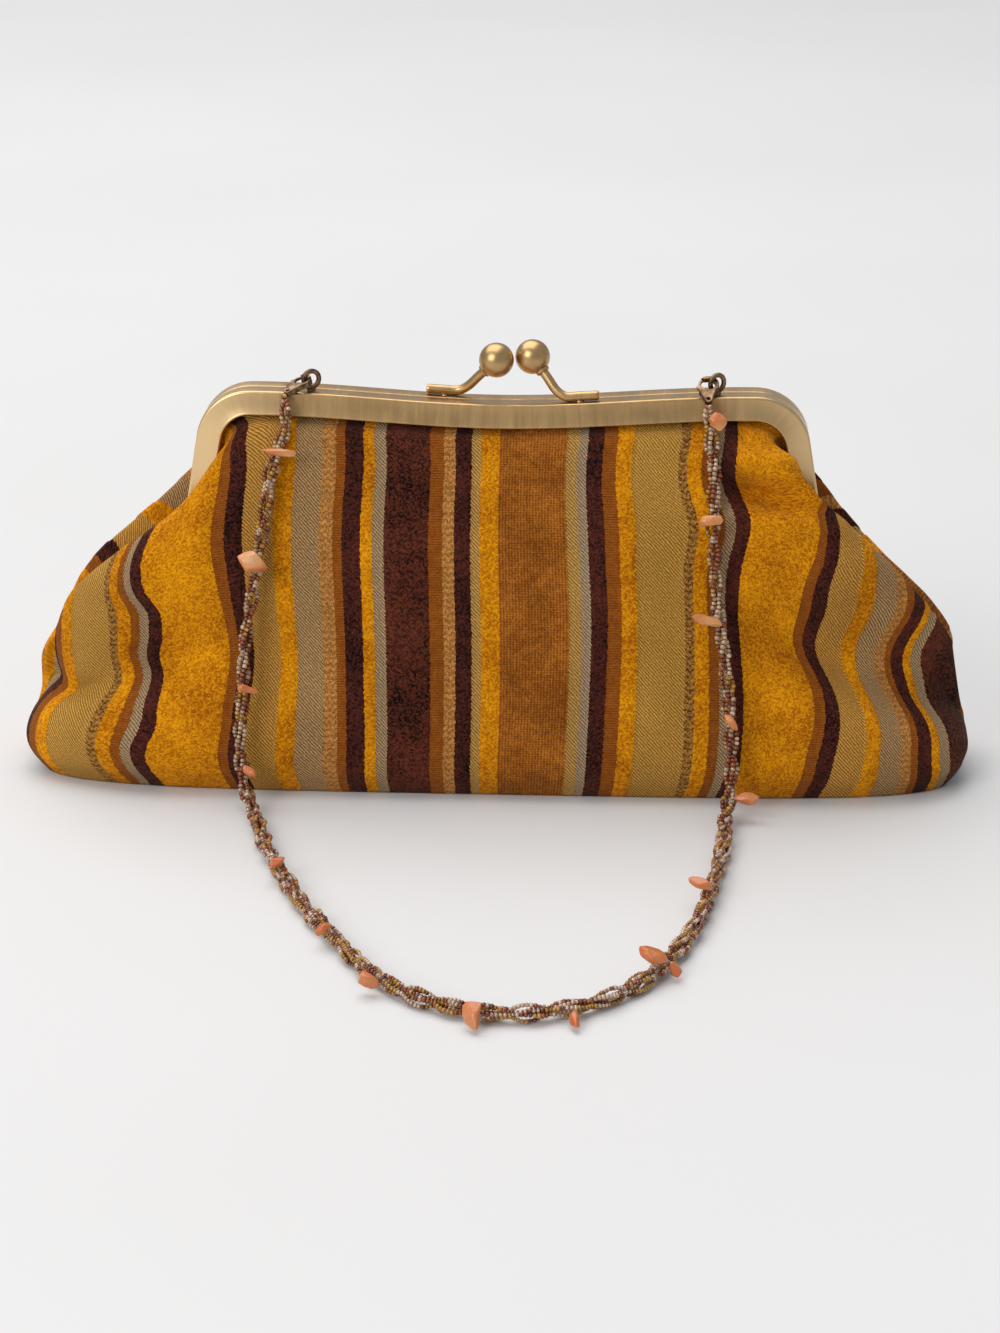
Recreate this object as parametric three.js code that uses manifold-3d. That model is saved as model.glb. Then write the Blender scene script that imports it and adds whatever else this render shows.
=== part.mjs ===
// Beaded clutch: a soft striped pouch in a hinged brass frame with a ball lock, and a removable handle,
// a rope of seed beads and coral chips that two lobster clasps hold to loops on the frame.
// Millimetres, +Z up, the front faces -Y, and the flat base rests on Z = 0 with its middle at the origin.
import * as THREE from "three";
import { mergeVertices } from "three/addons/utils/BufferGeometryUtils.js";
import Module from "manifold-3d";

const wasm = await Module();
wasm.setup();

// Frame, seen from the front: two channels bent to the same outline, one behind the other
const FRAME_TOP = 126; // height of the top edge at the shoulders
const FRAME_DIP = 3.5; // how far the middle of the top bar dips below the shoulders
const FRAME_SHOULDER = 80; // half length of the top bar
const FRAME_CORNER = 17.5; // outer radius of the two corners
const FRAME_FLARE = THREE.MathUtils.degToRad(10); // how far the legs lean outwards
const FRAME_FOOT = 72; // height of the leg ends
const BAND = 8; // height of the channel's front wall
const BAND_INNER = 7; // height of the channel's hidden wall
const CHANNEL = 6.6; // depth of one channel, front to back
const METAL = 0.9; // sheet thickness
const EDGE = 0.5; // rounding of the front wall's edges
const HALF_GAP = 0.2; // from the middle plane to each channel

// Hinge at each leg end: an ear from each channel, side by side, and a rivet through both
const HINGE_Z = 67;
const EAR_RADIUS = 3.3;
const EAR_THICK = 1.2;
const EAR_FRONT_X = 100.6; // inner face of the front channel's ear
const EAR_BACK_X = 98.9; // inner face of the back channel's ear
const EAR_TOP = 73.4;
const RIVET_RADIUS = 1.3;
const RIVET_HEAD = 2.3;
const RIVET_HEAD_THICK = 0.9;
const CLEARANCE = 0.3;

// Ball lock: an arm with a ball on each channel, and the balls pass each other to snap shut
const BALL_RADIUS = 5.5;
const ARM_RADIUS = 1.5;
const ARM_LIFT = 1.7; // from the top of the channel to the arm's middle
const COLLAR_RADIUS = 2.2;
const LOCK_ARMS = [
  { half: "back", footOuter: -24.5, footInner: -13, ballX: -2, ballY: -1.6, ballZ: 135.8 },
  { half: "front", footOuter: 30.5, footInner: 18.5, ballX: 9.3, ballY: 1.6, ballZ: 136.2 },
];

// Loops that stand on the front channel, and the lobster clasps hooked through them
const LOOP_RADIUS = 2.6;
const LOOP_WIRE = 0.6;
const LOOP_FOOT = 0.5; // height of the small foot under a loop
const CHANNEL_MIDDLE = HALF_GAP + CHANNEL / 2;
const CLAW_OUTER = 3.25;
const CLAW_INNER = 2.3;
const CLAW_TIP = { outer: 136, inner: 113 }; // where the hook's slanted tip ends, degrees from across the claw
const LEVER_TIP = { outer: 142.5, inner: 128 }; // the lever's tip, slanted so that it swings in under the hook's
const CLAW_CHEEK = 214; // where the hook's cheek begins
const CLASP_THICK = 1.7;
const CLASP_TAIL = 6.3; // from the middle of the claw to the eye in the tail
const TAIL_RADIUS = 1.25;
const TAIL_HOLE = 0.65;
const LEVER_THICK = 0.7;
const LEVER_PIVOT = new THREE.Vector2(-1.95, -2.3);
const PIN_RADIUS = 0.35;
const CLASPS = [
  { side: "left", loopX: -60.5, loopTurn: 30, middle: [-63.5, -4.43, 128.6], tail: [-0.6, -0.72, -0.35] },
  { side: "right", loopX: 67.5, loopTurn: 35, middle: [64.8, -4.86, 129.2], tail: [0, -0.848, -0.53] },
];

// Pouch: cloth, and the outlines of the bag at its two widest levels
const CLOTH = 1.8;
const SLOT_DEPTH = 2.4; // how far below the channel's top the cloth edge sits
const MOUTH_DROP = 9; // where the cloth comes out of the channel, from the channel's top
const LIP_DROP = 11; // where the cloth turns over the channel's lower edge
const LIP_FORWARD = 9.2;
const FREE_LIP = [98.5, -11, 69]; // the same turn just below a leg's end, where nothing holds the cloth
const HEM_HALF_WIDTH = 154;
const HEM_HALF_DEPTH = 36.5;
const HEM_Z = 11;
const HEM_POWER = 4.2;
const HEM_SHIFT = -2.3; // the bag has slumped a little to its left: the base by this, the belly by half
const BELLY_HALF_WIDTH = 151;
const BELLY_HALF_DEPTH = 30;
const BELLY_POWER = 2.6;
const BASE_INSET = 5; // how far the flat base stays inside the hem
const COLUMNS_PER_STATION = 2;
const ROWS = { slot: 1, mouth: 1, lip: 1, shoulder: 4, belly: 3, hem: 2 };

// Lines of the cloth from the middle of the front to the side, each held by the frame or by the side seam.
// shoulder: where the cloth is fullest below the frame, with how much lower it has sunk on the right;
// belly and hem: where it passes the two widest levels.
const STATIONS = [
  { hold: "bar", at: 0, shoulder: [0, -13, 104], rightDrop: 0, bellyX: 0, bellyZ: 53, hemX: 0 },
  { hold: "bar", at: 40, shoulder: [40, -13.2, 105], rightDrop: 0, bellyX: 40.5, bellyZ: 53, hemX: 41 },
  { hold: "bar", at: 79, shoulder: [80, -13.5, 106.5], rightDrop: 0, bellyX: 81, bellyZ: 53, hemX: 82 },
  { hold: "corner", at: 0.55, shoulder: [91, -14, 103], rightDrop: 0, bellyX: 93, bellyZ: 53, hemX: 92.5 },
  { hold: "leg", at: 0, shoulder: [97, -14.5, 98.5], rightDrop: 0, bellyX: 101, bellyZ: 53, hemX: 100.5 },
  { hold: "leg", at: 0.42, shoulder: [102, -15, 94.5], rightDrop: 1.5, bellyX: 108, bellyZ: 53, hemX: 108 },
  { hold: "leg", at: 0.84, shoulder: [107.5, -14.5, 89], rightDrop: 3.5, bellyX: 114.5, bellyZ: 52, hemX: 115.5 },
  { hold: "free", edge: [93.5, -5, 66], shoulder: [114, -13.5, 83], rightDrop: 5, bellyX: 121, bellyZ: 50, hemX: 123 },
  { hold: "seam", edge: [106, 0, 58.5], shoulder: [122, -12, 76.5], rightDrop: 6.5, bellyX: 129, bellyZ: 47, hemX: 132.5 },
  { hold: "seam", edge: [121, 0, 58], shoulder: [131, -10, 69], rightDrop: 6.8, bellyX: 137, bellyZ: 43, hemX: 140.5 },
  { hold: "seam", edge: [134, 0, 53], shoulder: [139, -8, 60], rightDrop: 5.5, bellyX: 144, bellyZ: 37, hemX: 147.5 },
  { hold: "seam", edge: [145, 0, 42], shoulder: [146.5, -5, 45], rightDrop: 2.5, bellyX: 149, bellyZ: 29, hemX: 152 },
  { hold: "seam", edge: [151, 0, 26], shoulder: [151.6, 0, 22], rightDrop: 0, bellyX: 152.6, bellyZ: 17, hemX: 154 },
];

// Folds and dents of the two panels: middle, slope of the fold's line, half length, half width,
// push out along the cloth's own direction, and shift of the cloth across the bag
const FOLDS = [
  { panel: "front", x: 113, z: 47, slope: -24, length: 30, width: 12, push: -4, shift: -7 },
  { panel: "front", x: 140, z: 37, slope: -24, length: 14, width: 8, push: -2.5, shift: 0 },
  { panel: "front", x: 108, z: 76, slope: -30, length: 26, width: 11, push: 2, shift: 1.5 },
  { panel: "front", x: 112, z: 22, slope: -8, length: 24, width: 9, push: 1.5, shift: 0 },
  { panel: "front", x: 90, z: 98, slope: -4, length: 15, width: 6, push: -2.5, shift: -1.5 },
  { panel: "front", x: 90, z: 88, slope: -6, length: 16, width: 6, push: 2, shift: 1.5 },
  { panel: "front", x: 150, z: 29, slope: -10, length: 14, width: 8, push: -4, shift: 0 },
  { panel: "front", x: -114, z: 41, slope: 10, length: 24, width: 15, push: -2.5, shift: 5 },
  { panel: "front", x: -114, z: 17, slope: 0, length: 24, width: 8, push: 1, shift: -1.5 },
  { panel: "front", x: -142, z: 32, slope: 20, length: 20, width: 7, push: -4, shift: 0 },
  { panel: "front", x: -110, z: 78, slope: 36, length: 24, width: 12, push: 1.5, shift: -3 },
  { panel: "front", x: -80, z: 42, slope: 4, length: 22, width: 15, push: -1, shift: 1.5 },
  { panel: "front", x: 15, z: 32, slope: 4, length: 70, width: 16, push: -1, shift: 0 },
  { panel: "back", x: 150, z: 29, slope: -10, length: 14, width: 8, push: -4, shift: 0 },
  { panel: "back", x: 134, z: 38, slope: -18, length: 26, width: 9, push: -3.5, shift: -4 },
  { panel: "back", x: -150, z: 34, slope: 10, length: 14, width: 10, push: 4, shift: 0 },
  { panel: "back", x: -122, z: 46, slope: 16, length: 24, width: 10, push: -4, shift: 4 },
  { panel: "back", x: -20, z: 42, slope: -8, length: 70, width: 14, push: -1.8, shift: 0 },
];

// Handle: the route of the rope from the left clasp down the front, round its loop on the floor and up again
const ROPE_RADIUS = 2.3;
const ROPE_SIDES = 8;
const ROPE_STEPS = 62;
const ROPE_ROUTE = [
  [-68, -11.6, 122.4],
  [-68.4, -13.2, 114],
  [-72.3, -19.2, 102.8],
  [-75.2, -25.6, 82],
  [-78.2, -31.2, 64],
  [-80, -35.6, 48.5],
  [-81, -39.6, 33],
  [-81.4, -42.2, 17],
  [-80, -46, 7],
  [-75.4, -57, 3],
  [-69.3, -80.3, 2.65],
  [-60, -105.6, 2.65],
  [-51.4, -126, 2.65],
  [-41.7, -144, 2.65],
  [-33.5, -159.5, 2.65],
  [-26, -170, 2.65],
  [-17.5, -179, 2.65],
  [-5.5, -185.5, 2.65],
  [8, -189, 2.65],
  [20.5, -187.6, 2.65],
  [34.4, -181, 2.65],
  [45.8, -169, 2.65],
  [54, -154, 2.65],
  [59.4, -139, 2.65],
  [64, -121, 2.65],
  [68, -99.5, 2.65],
  [71, -76, 2.65],
  [72, -58, 3],
  [73.5, -47.4, 7],
  [73.8, -42.8, 15],
  [73.8, -40.8, 26],
  [72.6, -38.6, 38.5],
  [70.4, -34.6, 54],
  [68.2, -30, 69],
  [67, -25.2, 84],
  [67, -20.4, 98.7],
  [66.4, -15.4, 110],
  [65, -12.2, 121],
];

// Coral chips: share of the way along the rope, turn about it from the side that faces forward and up,
// length, width and thickness, the lean of the length from the rope's own line, and its tilt away from the rope
const CHIP_GAP = 0.35;
const CHIPS = [
  { along: 0.026, turn: -10, length: 11, width: 3.2, thick: 3, lean: 105, tilt: 0 },
  { along: 0.085, turn: 10, length: 12, width: 7.2, thick: 4.4, lean: 255, tilt: 15 },
  { along: 0.152, turn: -30, length: 6.4, width: 3, thick: 2.8, lean: 75, tilt: 15 },
  { along: 0.198, turn: -40, length: 4.8, width: 3.6, thick: 3, lean: 45, tilt: 30 },
  { along: 0.307, turn: -20, length: 6.6, width: 4.4, thick: 3.2, lean: 90, tilt: 0 },
  { along: 0.386, turn: 0, length: 5.2, width: 3.2, thick: 2.8, lean: 270, tilt: 15 },
  { along: 0.440, turn: 20, length: 7.2, width: 6.4, thick: 3.6, lean: 165, tilt: 45 },
  { along: 0.496, turn: 10, length: 10.2, width: 6.8, thick: 4.2, lean: 300, tilt: 30 },
  { along: 0.537, turn: 30, length: 7.4, width: 3.4, thick: 3, lean: 240, tilt: 75 },
  { along: 0.601, turn: 40, length: 5.4, width: 4.2, thick: 3.2, lean: 285, tilt: 15 },
  { along: 0.594, turn: -50, length: 9.2, width: 7.4, thick: 4.4, lean: 105, tilt: 30 },
  { along: 0.683, turn: -50, length: 6.6, width: 4.6, thick: 3.4, lean: 90, tilt: 45 },
  { along: 0.795, turn: 60, length: 8.4, width: 4.8, thick: 3.6, lean: 270, tilt: 60 },
  { along: 0.839, turn: 0, length: 6.8, width: 3, thick: 2.8, lean: 210, tilt: 15 },
  { along: 0.893, turn: -40, length: 8.8, width: 4.6, thick: 3.6, lean: 60, tilt: 45 },
  { along: 0.945, turn: -10, length: 7.6, width: 4.4, thick: 3.4, lean: 105, tilt: 0 },
  { along: 0.997, turn: 30, length: 6.8, width: 5.6, thick: 3.8, lean: 225, tilt: 15 },
];

const COLOURS = { brass: 0xb9965f, bronze: 0x7a5a3c, cloth: 0xc98f2a, bead: 0xa98a5c, coral: 0xe0804f };

const group = new THREE.Group();

// A closed geometry as a solid; its faces are turned out if they point in.
function solidOf(geometry) {
  const plain = geometry.clone();
  plain.deleteAttribute("normal");
  plain.deleteAttribute("uv");
  const merged = mergeVertices(plain, 1e-4);
  const triVerts = new Uint32Array(merged.index.array);
  const vertProperties = new Float32Array(merged.attributes.position.array);
  const made = new wasm.Manifold(new wasm.Mesh({ numProp: 3, vertProperties, triVerts }));
  if (made.volume() > 0) return made;
  for (let i = 0; i < triVerts.length; i += 3) {
    const kept = triVerts[i + 1];
    triVerts[i + 1] = triVerts[i + 2];
    triVerts[i + 2] = kept;
  }
  return new wasm.Manifold(new wasm.Mesh({ numProp: 3, vertProperties, triVerts }));
}

function addNode(name, solid, colour) {
  const mesh = solid.getMesh();
  const geometry = new THREE.BufferGeometry();
  geometry.setAttribute("position", new THREE.BufferAttribute(new Float32Array(mesh.vertProperties), 3));
  geometry.setIndex(new THREE.BufferAttribute(new Uint32Array(mesh.triVerts), 1));
  geometry.computeVertexNormals();
  const node = new THREE.Mesh(geometry, new THREE.MeshStandardMaterial({ color: colour, name: name + "_look" }));
  node.name = name;
  group.add(node);
}

// A skin through rings of points: each ring is joined to the next, and the two end rings are filled.
function loftSolid(rings, fill) {
  const points = [];
  const tri = (a, b, c) => points.push(a, b, c);
  const count = rings[0].length;
  for (let i = 0; i + 1 < rings.length; i += 1) {
    for (let k = 0; k < count; k += 1) {
      const next = (k + 1) % count;
      tri(rings[i][k], rings[i + 1][k], rings[i + 1][next]);
      tri(rings[i][k], rings[i + 1][next], rings[i][next]);
    }
  }
  const last = rings[rings.length - 1];
  for (const [a, b, c] of fill) {
    tri(rings[0][a], rings[0][b], rings[0][c]);
    tri(last[a], last[c], last[b]);
  }
  return solidOf(new THREE.BufferGeometry().setFromPoints(points));
}

// The frame's outer edge on the right half: a point and its outward direction.
function frameAt(place, at) {
  if (place === "bar") {
    const phase = (Math.PI * at) / FRAME_SHOULDER;
    const slope = (FRAME_DIP * Math.PI * Math.sin(phase)) / (2 * FRAME_SHOULDER);
    const long = Math.hypot(slope, 1);
    return { x: at, z: FRAME_TOP - (FRAME_DIP * (1 + Math.cos(phase))) / 2, outX: -slope / long, outZ: 1 / long };
  }
  const turn = place === "corner" ? at : 1;
  const angle = Math.PI / 2 - turn * (Math.PI / 2 - FRAME_FLARE);
  const x = FRAME_SHOULDER + FRAME_CORNER * Math.cos(angle);
  const z = FRAME_TOP - FRAME_CORNER + FRAME_CORNER * Math.sin(angle);
  const drop = place === "leg" ? at * (z - FRAME_FOOT) : 0;
  return { x: x + drop * Math.tan(FRAME_FLARE), z: z - drop, outX: Math.cos(angle), outZ: Math.sin(angle) };
}

function mirrored(spot) {
  return { x: -spot.x, z: spot.z, outX: -spot.outX, outZ: spot.outZ };
}

// The whole outline, from the left leg's end over the top to the right leg's end.
function frameOutline() {
  const right = [];
  for (let i = 1; i <= 6; i += 1) right.push(frameAt("bar", (FRAME_SHOULDER * i) / 6));
  for (let i = 1; i <= 6; i += 1) right.push(frameAt("corner", i / 6));
  right.push(frameAt("leg", 0.5), frameAt("leg", 1));
  const left = right.map(mirrored).reverse();
  return [...left, frameAt("bar", 0), ...right];
}

// One channel: a U of sheet metal whose open side faces the inside of the outline.
function channelSolid(face) {
  const front = HALF_GAP + CHANNEL;
  const profile = [
    [-EDGE, front],
    [-BAND + EDGE, front],
    [-BAND, front - EDGE],
    [-BAND, front - METAL],
    [-METAL, front - METAL],
    [-METAL, HALF_GAP + METAL],
    [-BAND_INNER, HALF_GAP + METAL],
    [-BAND_INNER, HALF_GAP],
    [0, HALF_GAP],
    [0, front - EDGE],
  ];
  const flat = profile.map(([out, depth]) => new THREE.Vector2(out, depth));
  const fill = THREE.ShapeUtils.triangulateShape(flat, []);
  const rings = frameOutline().map((spot) =>
    profile.map(
      ([out, depth]) => new THREE.Vector3(spot.x + spot.outX * out, face * depth, spot.z + spot.outZ * out),
    ),
  );
  return loftSolid(rings, fill);
}

// An ear that hangs from a leg's end and reaches across the middle plane round the rivet.
function earSolid(face, innerX, side) {
  const outer = HALF_GAP + CHANNEL - 0.4;
  const inner = HALF_GAP + 0.4;
  const touch = Math.sqrt(EAR_RADIUS ** 2 - inner ** 2);
  const shape = new THREE.Shape();
  shape.moveTo(-outer, EAR_TOP);
  shape.lineTo(-inner, EAR_TOP);
  shape.lineTo(-inner, HINGE_Z + touch);
  shape.absarc(0, HINGE_Z, EAR_RADIUS, Math.atan2(touch, -inner), -Math.PI * 0.75, true);
  shape.lineTo(-outer, HINGE_Z + 1.5);
  const hole = new THREE.Path();
  hole.absarc(0, HINGE_Z, RIVET_RADIUS + CLEARANCE, 0, Math.PI * 2, false);
  shape.holes.push(hole);
  const plate = new THREE.ExtrudeGeometry(shape, { depth: EAR_THICK, bevelEnabled: false, curveSegments: 6 });
  // The shape's own axes become depth and height, and its thickness lies across the bag.
  const lay = new THREE.Matrix4().set(0, 0, side, side * innerX, -face, 0, 0, 0, 0, 1, 0, 0, 0, 0, 0, 1);
  return solidOf(plate.applyMatrix4(lay));
}

function barTop(x) {
  return frameAt("bar", x).z;
}

function tubeSolid(points, radius, sides, steps) {
  const section = new THREE.Shape();
  for (let k = 0; k < sides; k += 1) {
    const turn = (2 * Math.PI * k) / sides;
    if (k === 0) section.moveTo(radius, 0);
    else section.lineTo(radius * Math.cos(turn), radius * Math.sin(turn));
  }
  section.closePath();
  const route = new THREE.CatmullRomCurve3(points, false, "centripetal");
  return solidOf(new THREE.ExtrudeGeometry(section, { steps, extrudePath: route, bevelEnabled: false }));
}

// An arm of the ball lock: a foot soldered along the bar, a bend, a rising rod, a collar and the ball.
function lockSolid(arm) {
  const depth = (arm.half === "front" ? -1 : 1) * CHANNEL_MIDDLE;
  const toward = Math.sign(arm.footInner - arm.footOuter);
  const height = (x) => barTop(x) + ARM_LIFT;
  const ball = new THREE.Vector3(arm.ballX, arm.ballY, arm.ballZ);
  const bend = new THREE.Vector3(arm.footInner, depth, height(arm.footInner));
  const rise = ball.clone().sub(bend).normalize();
  const points = [
    new THREE.Vector3(arm.footOuter, depth, height(arm.footOuter)),
    new THREE.Vector3((arm.footOuter + arm.footInner) / 2, depth, height((arm.footOuter + arm.footInner) / 2)),
    new THREE.Vector3(arm.footInner - toward * 1.5, depth, height(arm.footInner - toward * 1.5)),
    bend.clone().addScaledVector(rise, 2.2),
    bend.clone().lerp(ball, 0.5),
    ball.clone().addScaledVector(rise, -BALL_RADIUS * 0.6),
  ];
  const rod = tubeSolid(points, ARM_RADIUS, 8, 10);
  const sphere = solidOf(new THREE.SphereGeometry(BALL_RADIUS, 12, 9).translate(ball.x, ball.y, ball.z));
  const up = new THREE.Vector3(0, 1, 0);
  const lean = new THREE.Quaternion().setFromUnitVectors(up, rise);
  const neck = ball.clone().addScaledVector(rise, -BALL_RADIUS - 0.1);
  const collarShape = new THREE.CylinderGeometry(COLLAR_RADIUS, COLLAR_RADIUS, 1.2, 12);
  const collar = solidOf(collarShape.applyQuaternion(lean).translate(neck.x, neck.y, neck.z));
  const middle = (arm.footOuter + arm.footInner) / 2;
  const pad = new THREE.BoxGeometry(7, 2, ARM_LIFT).translate(middle, depth, barTop(middle) + ARM_LIFT / 2 - 0.4);
  return rod.add(sphere).add(collar).add(solidOf(pad));
}

for (const half of ["front", "back"]) {
  const face = half === "front" ? -1 : 1;
  let solid = channelSolid(face);
  for (const side of [-1, 1]) {
    solid = solid.add(earSolid(face, half === "front" ? EAR_FRONT_X : EAR_BACK_X, side));
  }
  for (const arm of LOCK_ARMS) if (arm.half === half) solid = solid.add(lockSolid(arm));
  addNode("frame_" + half, solid, COLOURS.brass);
}

// Rivets: a plain shank with a low head at each end, through both ears.
for (const [name, side] of [["left", -1], ["right", 1]]) {
  const from = EAR_BACK_X - CLEARANCE - RIVET_HEAD_THICK;
  const to = EAR_FRONT_X + EAR_THICK + CLEARANCE + RIVET_HEAD_THICK;
  const profile = [
    [0, from],
    [RIVET_HEAD, from],
    [RIVET_HEAD, from + RIVET_HEAD_THICK],
    [RIVET_RADIUS, from + RIVET_HEAD_THICK],
    [RIVET_RADIUS, to - RIVET_HEAD_THICK],
    [RIVET_HEAD, to - RIVET_HEAD_THICK],
    [RIVET_HEAD, to],
    [0, to],
  ].map(([radius, along]) => new THREE.Vector2(radius, along));
  const rivet = new THREE.LatheGeometry(profile, 12);
  rivet.rotateZ((-side * Math.PI) / 2);
  addNode("hinge_rivet_" + name, solidOf(rivet.translate(0, 0, HINGE_Z)), COLOURS.brass);
}

// A claw and its lever, drawn flat with the hook at the top and the lever on the left.
function clawShape() {
  const turn = THREE.MathUtils.degToRad;
  const shape = new THREE.Shape();
  shape.absarc(0, 0, CLAW_OUTER, turn(CLAW_TIP.outer), turn(-48), true);
  shape.lineTo(TAIL_RADIUS, -CLASP_TAIL + 0.5);
  shape.absarc(0, -CLASP_TAIL, TAIL_RADIUS, turn(0), turn(180), true);
  shape.lineTo(-3, -3);
  shape.lineTo(-2.9, -1.9);
  shape.absarc(0, 0, CLAW_INNER, turn(CLAW_CHEEK), turn(360 + CLAW_TIP.inner), false);
  const eye = new THREE.Path();
  eye.absarc(0, -CLASP_TAIL, TAIL_HOLE, 0, Math.PI * 2, false);
  shape.holes.push(eye);
  return shape;
}

function leverShape() {
  const turn = THREE.MathUtils.degToRad;
  const shape = new THREE.Shape();
  shape.absarc(0, 0, CLAW_OUTER - 0.1, turn(LEVER_TIP.outer), turn(178), false);
  shape.lineTo(-3.75, -0.9);
  shape.lineTo(-3.5, -1.6);
  shape.lineTo(LEVER_PIVOT.x - 0.85, LEVER_PIVOT.y);
  shape.absarc(LEVER_PIVOT.x, LEVER_PIVOT.y, 0.85, turn(180), turn(360), false);
  shape.lineTo(-1.95, -1.2);
  shape.absarc(0, 0, CLAW_INNER + 0.15, turn(CLAW_CHEEK - 4), turn(LEVER_TIP.inner), true);
  const eye = new THREE.Path();
  eye.absarc(LEVER_PIVOT.x, LEVER_PIVOT.y, PIN_RADIUS + 0.2, 0, Math.PI * 2, false);
  shape.holes.push(eye);
  return shape;
}

function plateSolid(shape, thick, segments) {
  const plate = new THREE.ExtrudeGeometry(shape, { depth: thick, bevelEnabled: false, curveSegments: segments });
  return solidOf(plate.translate(0, 0, -thick / 2));
}

for (const clasp of CLASPS) {
  const top = barTop(clasp.loopX);
  const lift = top + CLEARANCE + LOOP_FOOT + LOOP_RADIUS + LOOP_WIRE * 0.6;
  const ring = new THREE.TorusGeometry(LOOP_RADIUS, LOOP_WIRE, 6, 14);
  ring.rotateX(Math.PI / 2);
  ring.rotateZ(THREE.MathUtils.degToRad(clasp.loopTurn));
  ring.translate(clasp.loopX, -CHANNEL_MIDDLE, lift);
  const foot = new THREE.CylinderGeometry(1.1, 1.5, LOOP_FOOT + 0.4, 10).rotateX(Math.PI / 2);
  foot.translate(clasp.loopX, -CHANNEL_MIDDLE, top + CLEARANCE + (LOOP_FOOT + 0.4) / 2);
  addNode("frame_loop_" + clasp.side, solidOf(ring).add(solidOf(foot)), COLOURS.bronze);

  // The clasp lies on the bar with its tail forward: along points from the tail to the hook.
  const along = new THREE.Vector3(...clasp.tail).normalize().negate();
  const out = new THREE.Vector3(0, 0, 1).addScaledVector(along, -along.z).normalize();
  const across = new THREE.Vector3().crossVectors(along, out);
  const place = new THREE.Matrix4().makeBasis(across, along, out).setPosition(...clasp.middle);
  const slotShape = new THREE.BoxGeometry(4, 3.4, LEVER_THICK + 0.5).translate(-2.8, -2.5, 0);
  const pin = new THREE.CylinderGeometry(PIN_RADIUS, PIN_RADIUS, CLASP_THICK, 8).rotateX(Math.PI / 2);
  pin.translate(LEVER_PIVOT.x, LEVER_PIVOT.y, 0);
  const claw = plateSolid(clawShape(), CLASP_THICK, 8).subtract(solidOf(slotShape)).add(solidOf(pin));
  addNode("clasp_body_" + clasp.side, claw.transform(place.elements), COLOURS.bronze);
  const lever = plateSolid(leverShape(), LEVER_THICK, 5);
  addNode("clasp_lever_" + clasp.side, lever.transform(place.elements), COLOURS.bronze);
}

// Points of one panel: rails across the bag through every station, and rows of cloth down from the frame.
function outlineY(x, halfWidth, halfDepth, power) {
  const share = Math.min(1, Math.abs(x) / halfWidth);
  return -halfDepth * (1 - share ** power) ** (1 / power);
}

function stationPoints(row, side) {
  const shoulder = new THREE.Vector3(...row.shoulder);
  if (side > 0) shoulder.z -= row.rightDrop;
  const bellyY = row.shoulder[1] === 0 ? 0 : outlineY(row.bellyX, BELLY_HALF_WIDTH, BELLY_HALF_DEPTH, BELLY_POWER);
  const belly = new THREE.Vector3(row.bellyX, bellyY, row.bellyZ);
  const hemY = outlineY(row.hemX, HEM_HALF_WIDTH, HEM_HALF_DEPTH, HEM_POWER);
  const hem = new THREE.Vector3(row.hemX, hemY, HEM_Z);
  const shrinkX = (HEM_HALF_WIDTH - BASE_INSET) / HEM_HALF_WIDTH;
  const shrinkY = (HEM_HALF_DEPTH - BASE_INSET) / HEM_HALF_DEPTH;
  const base = new THREE.Vector3(row.hemX * shrinkX, hemY * shrinkY, 0);
  const upper = row.edge ? edgePoints(row, shoulder) : heldPoints(row);
  const line = [...upper, shoulder, belly, hem, base];
  for (const p of line) p.x *= side;
  belly.x += HEM_SHIFT / 2;
  hem.x += HEM_SHIFT;
  base.x += HEM_SHIFT;
  return line;
}

// The top three points of a line of cloth below the legs: its sewn or free edge, and the turn over it.
function edgePoints(row, shoulder) {
  const edge = new THREE.Vector3(...row.edge);
  const lip = row.hold === "free" ? new THREE.Vector3(...FREE_LIP) : edge.clone().lerp(shoulder, 0.6);
  return [edge, edge.clone().lerp(lip, 0.5), lip];
}

// The same three points where a channel holds the cloth: in the slot, at its mouth and over its lower edge.
function heldPoints(row) {
  const spot = frameAt(row.hold, row.at);
  const inside = (drop, y) => new THREE.Vector3(spot.x - spot.outX * drop, y, spot.z - spot.outZ * drop);
  const middle = -CHANNEL_MIDDLE - CLOTH / 2;
  return [inside(SLOT_DEPTH, middle), inside(MOUTH_DROP, middle), inside(LIP_DROP, -LIP_FORWARD)];
}

// How far the folds of a panel move the cloth at a spot: out of the panel, and across the bag.
function movedBy(panel, x, z) {
  const moved = { push: 0, shift: 0 };
  for (const fold of FOLDS) {
    if (fold.panel !== panel) continue;
    const slope = THREE.MathUtils.degToRad(fold.slope);
    const along = (x - fold.x) * Math.cos(slope) + (z - fold.z) * Math.sin(slope);
    const across = (z - fold.z) * Math.cos(slope) - (x - fold.x) * Math.sin(slope);
    const share = Math.exp(-((along / fold.length) ** 2) - (across / fold.width) ** 2);
    moved.push += fold.push * share;
    moved.shift += fold.shift * share;
  }
  return moved;
}

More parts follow.
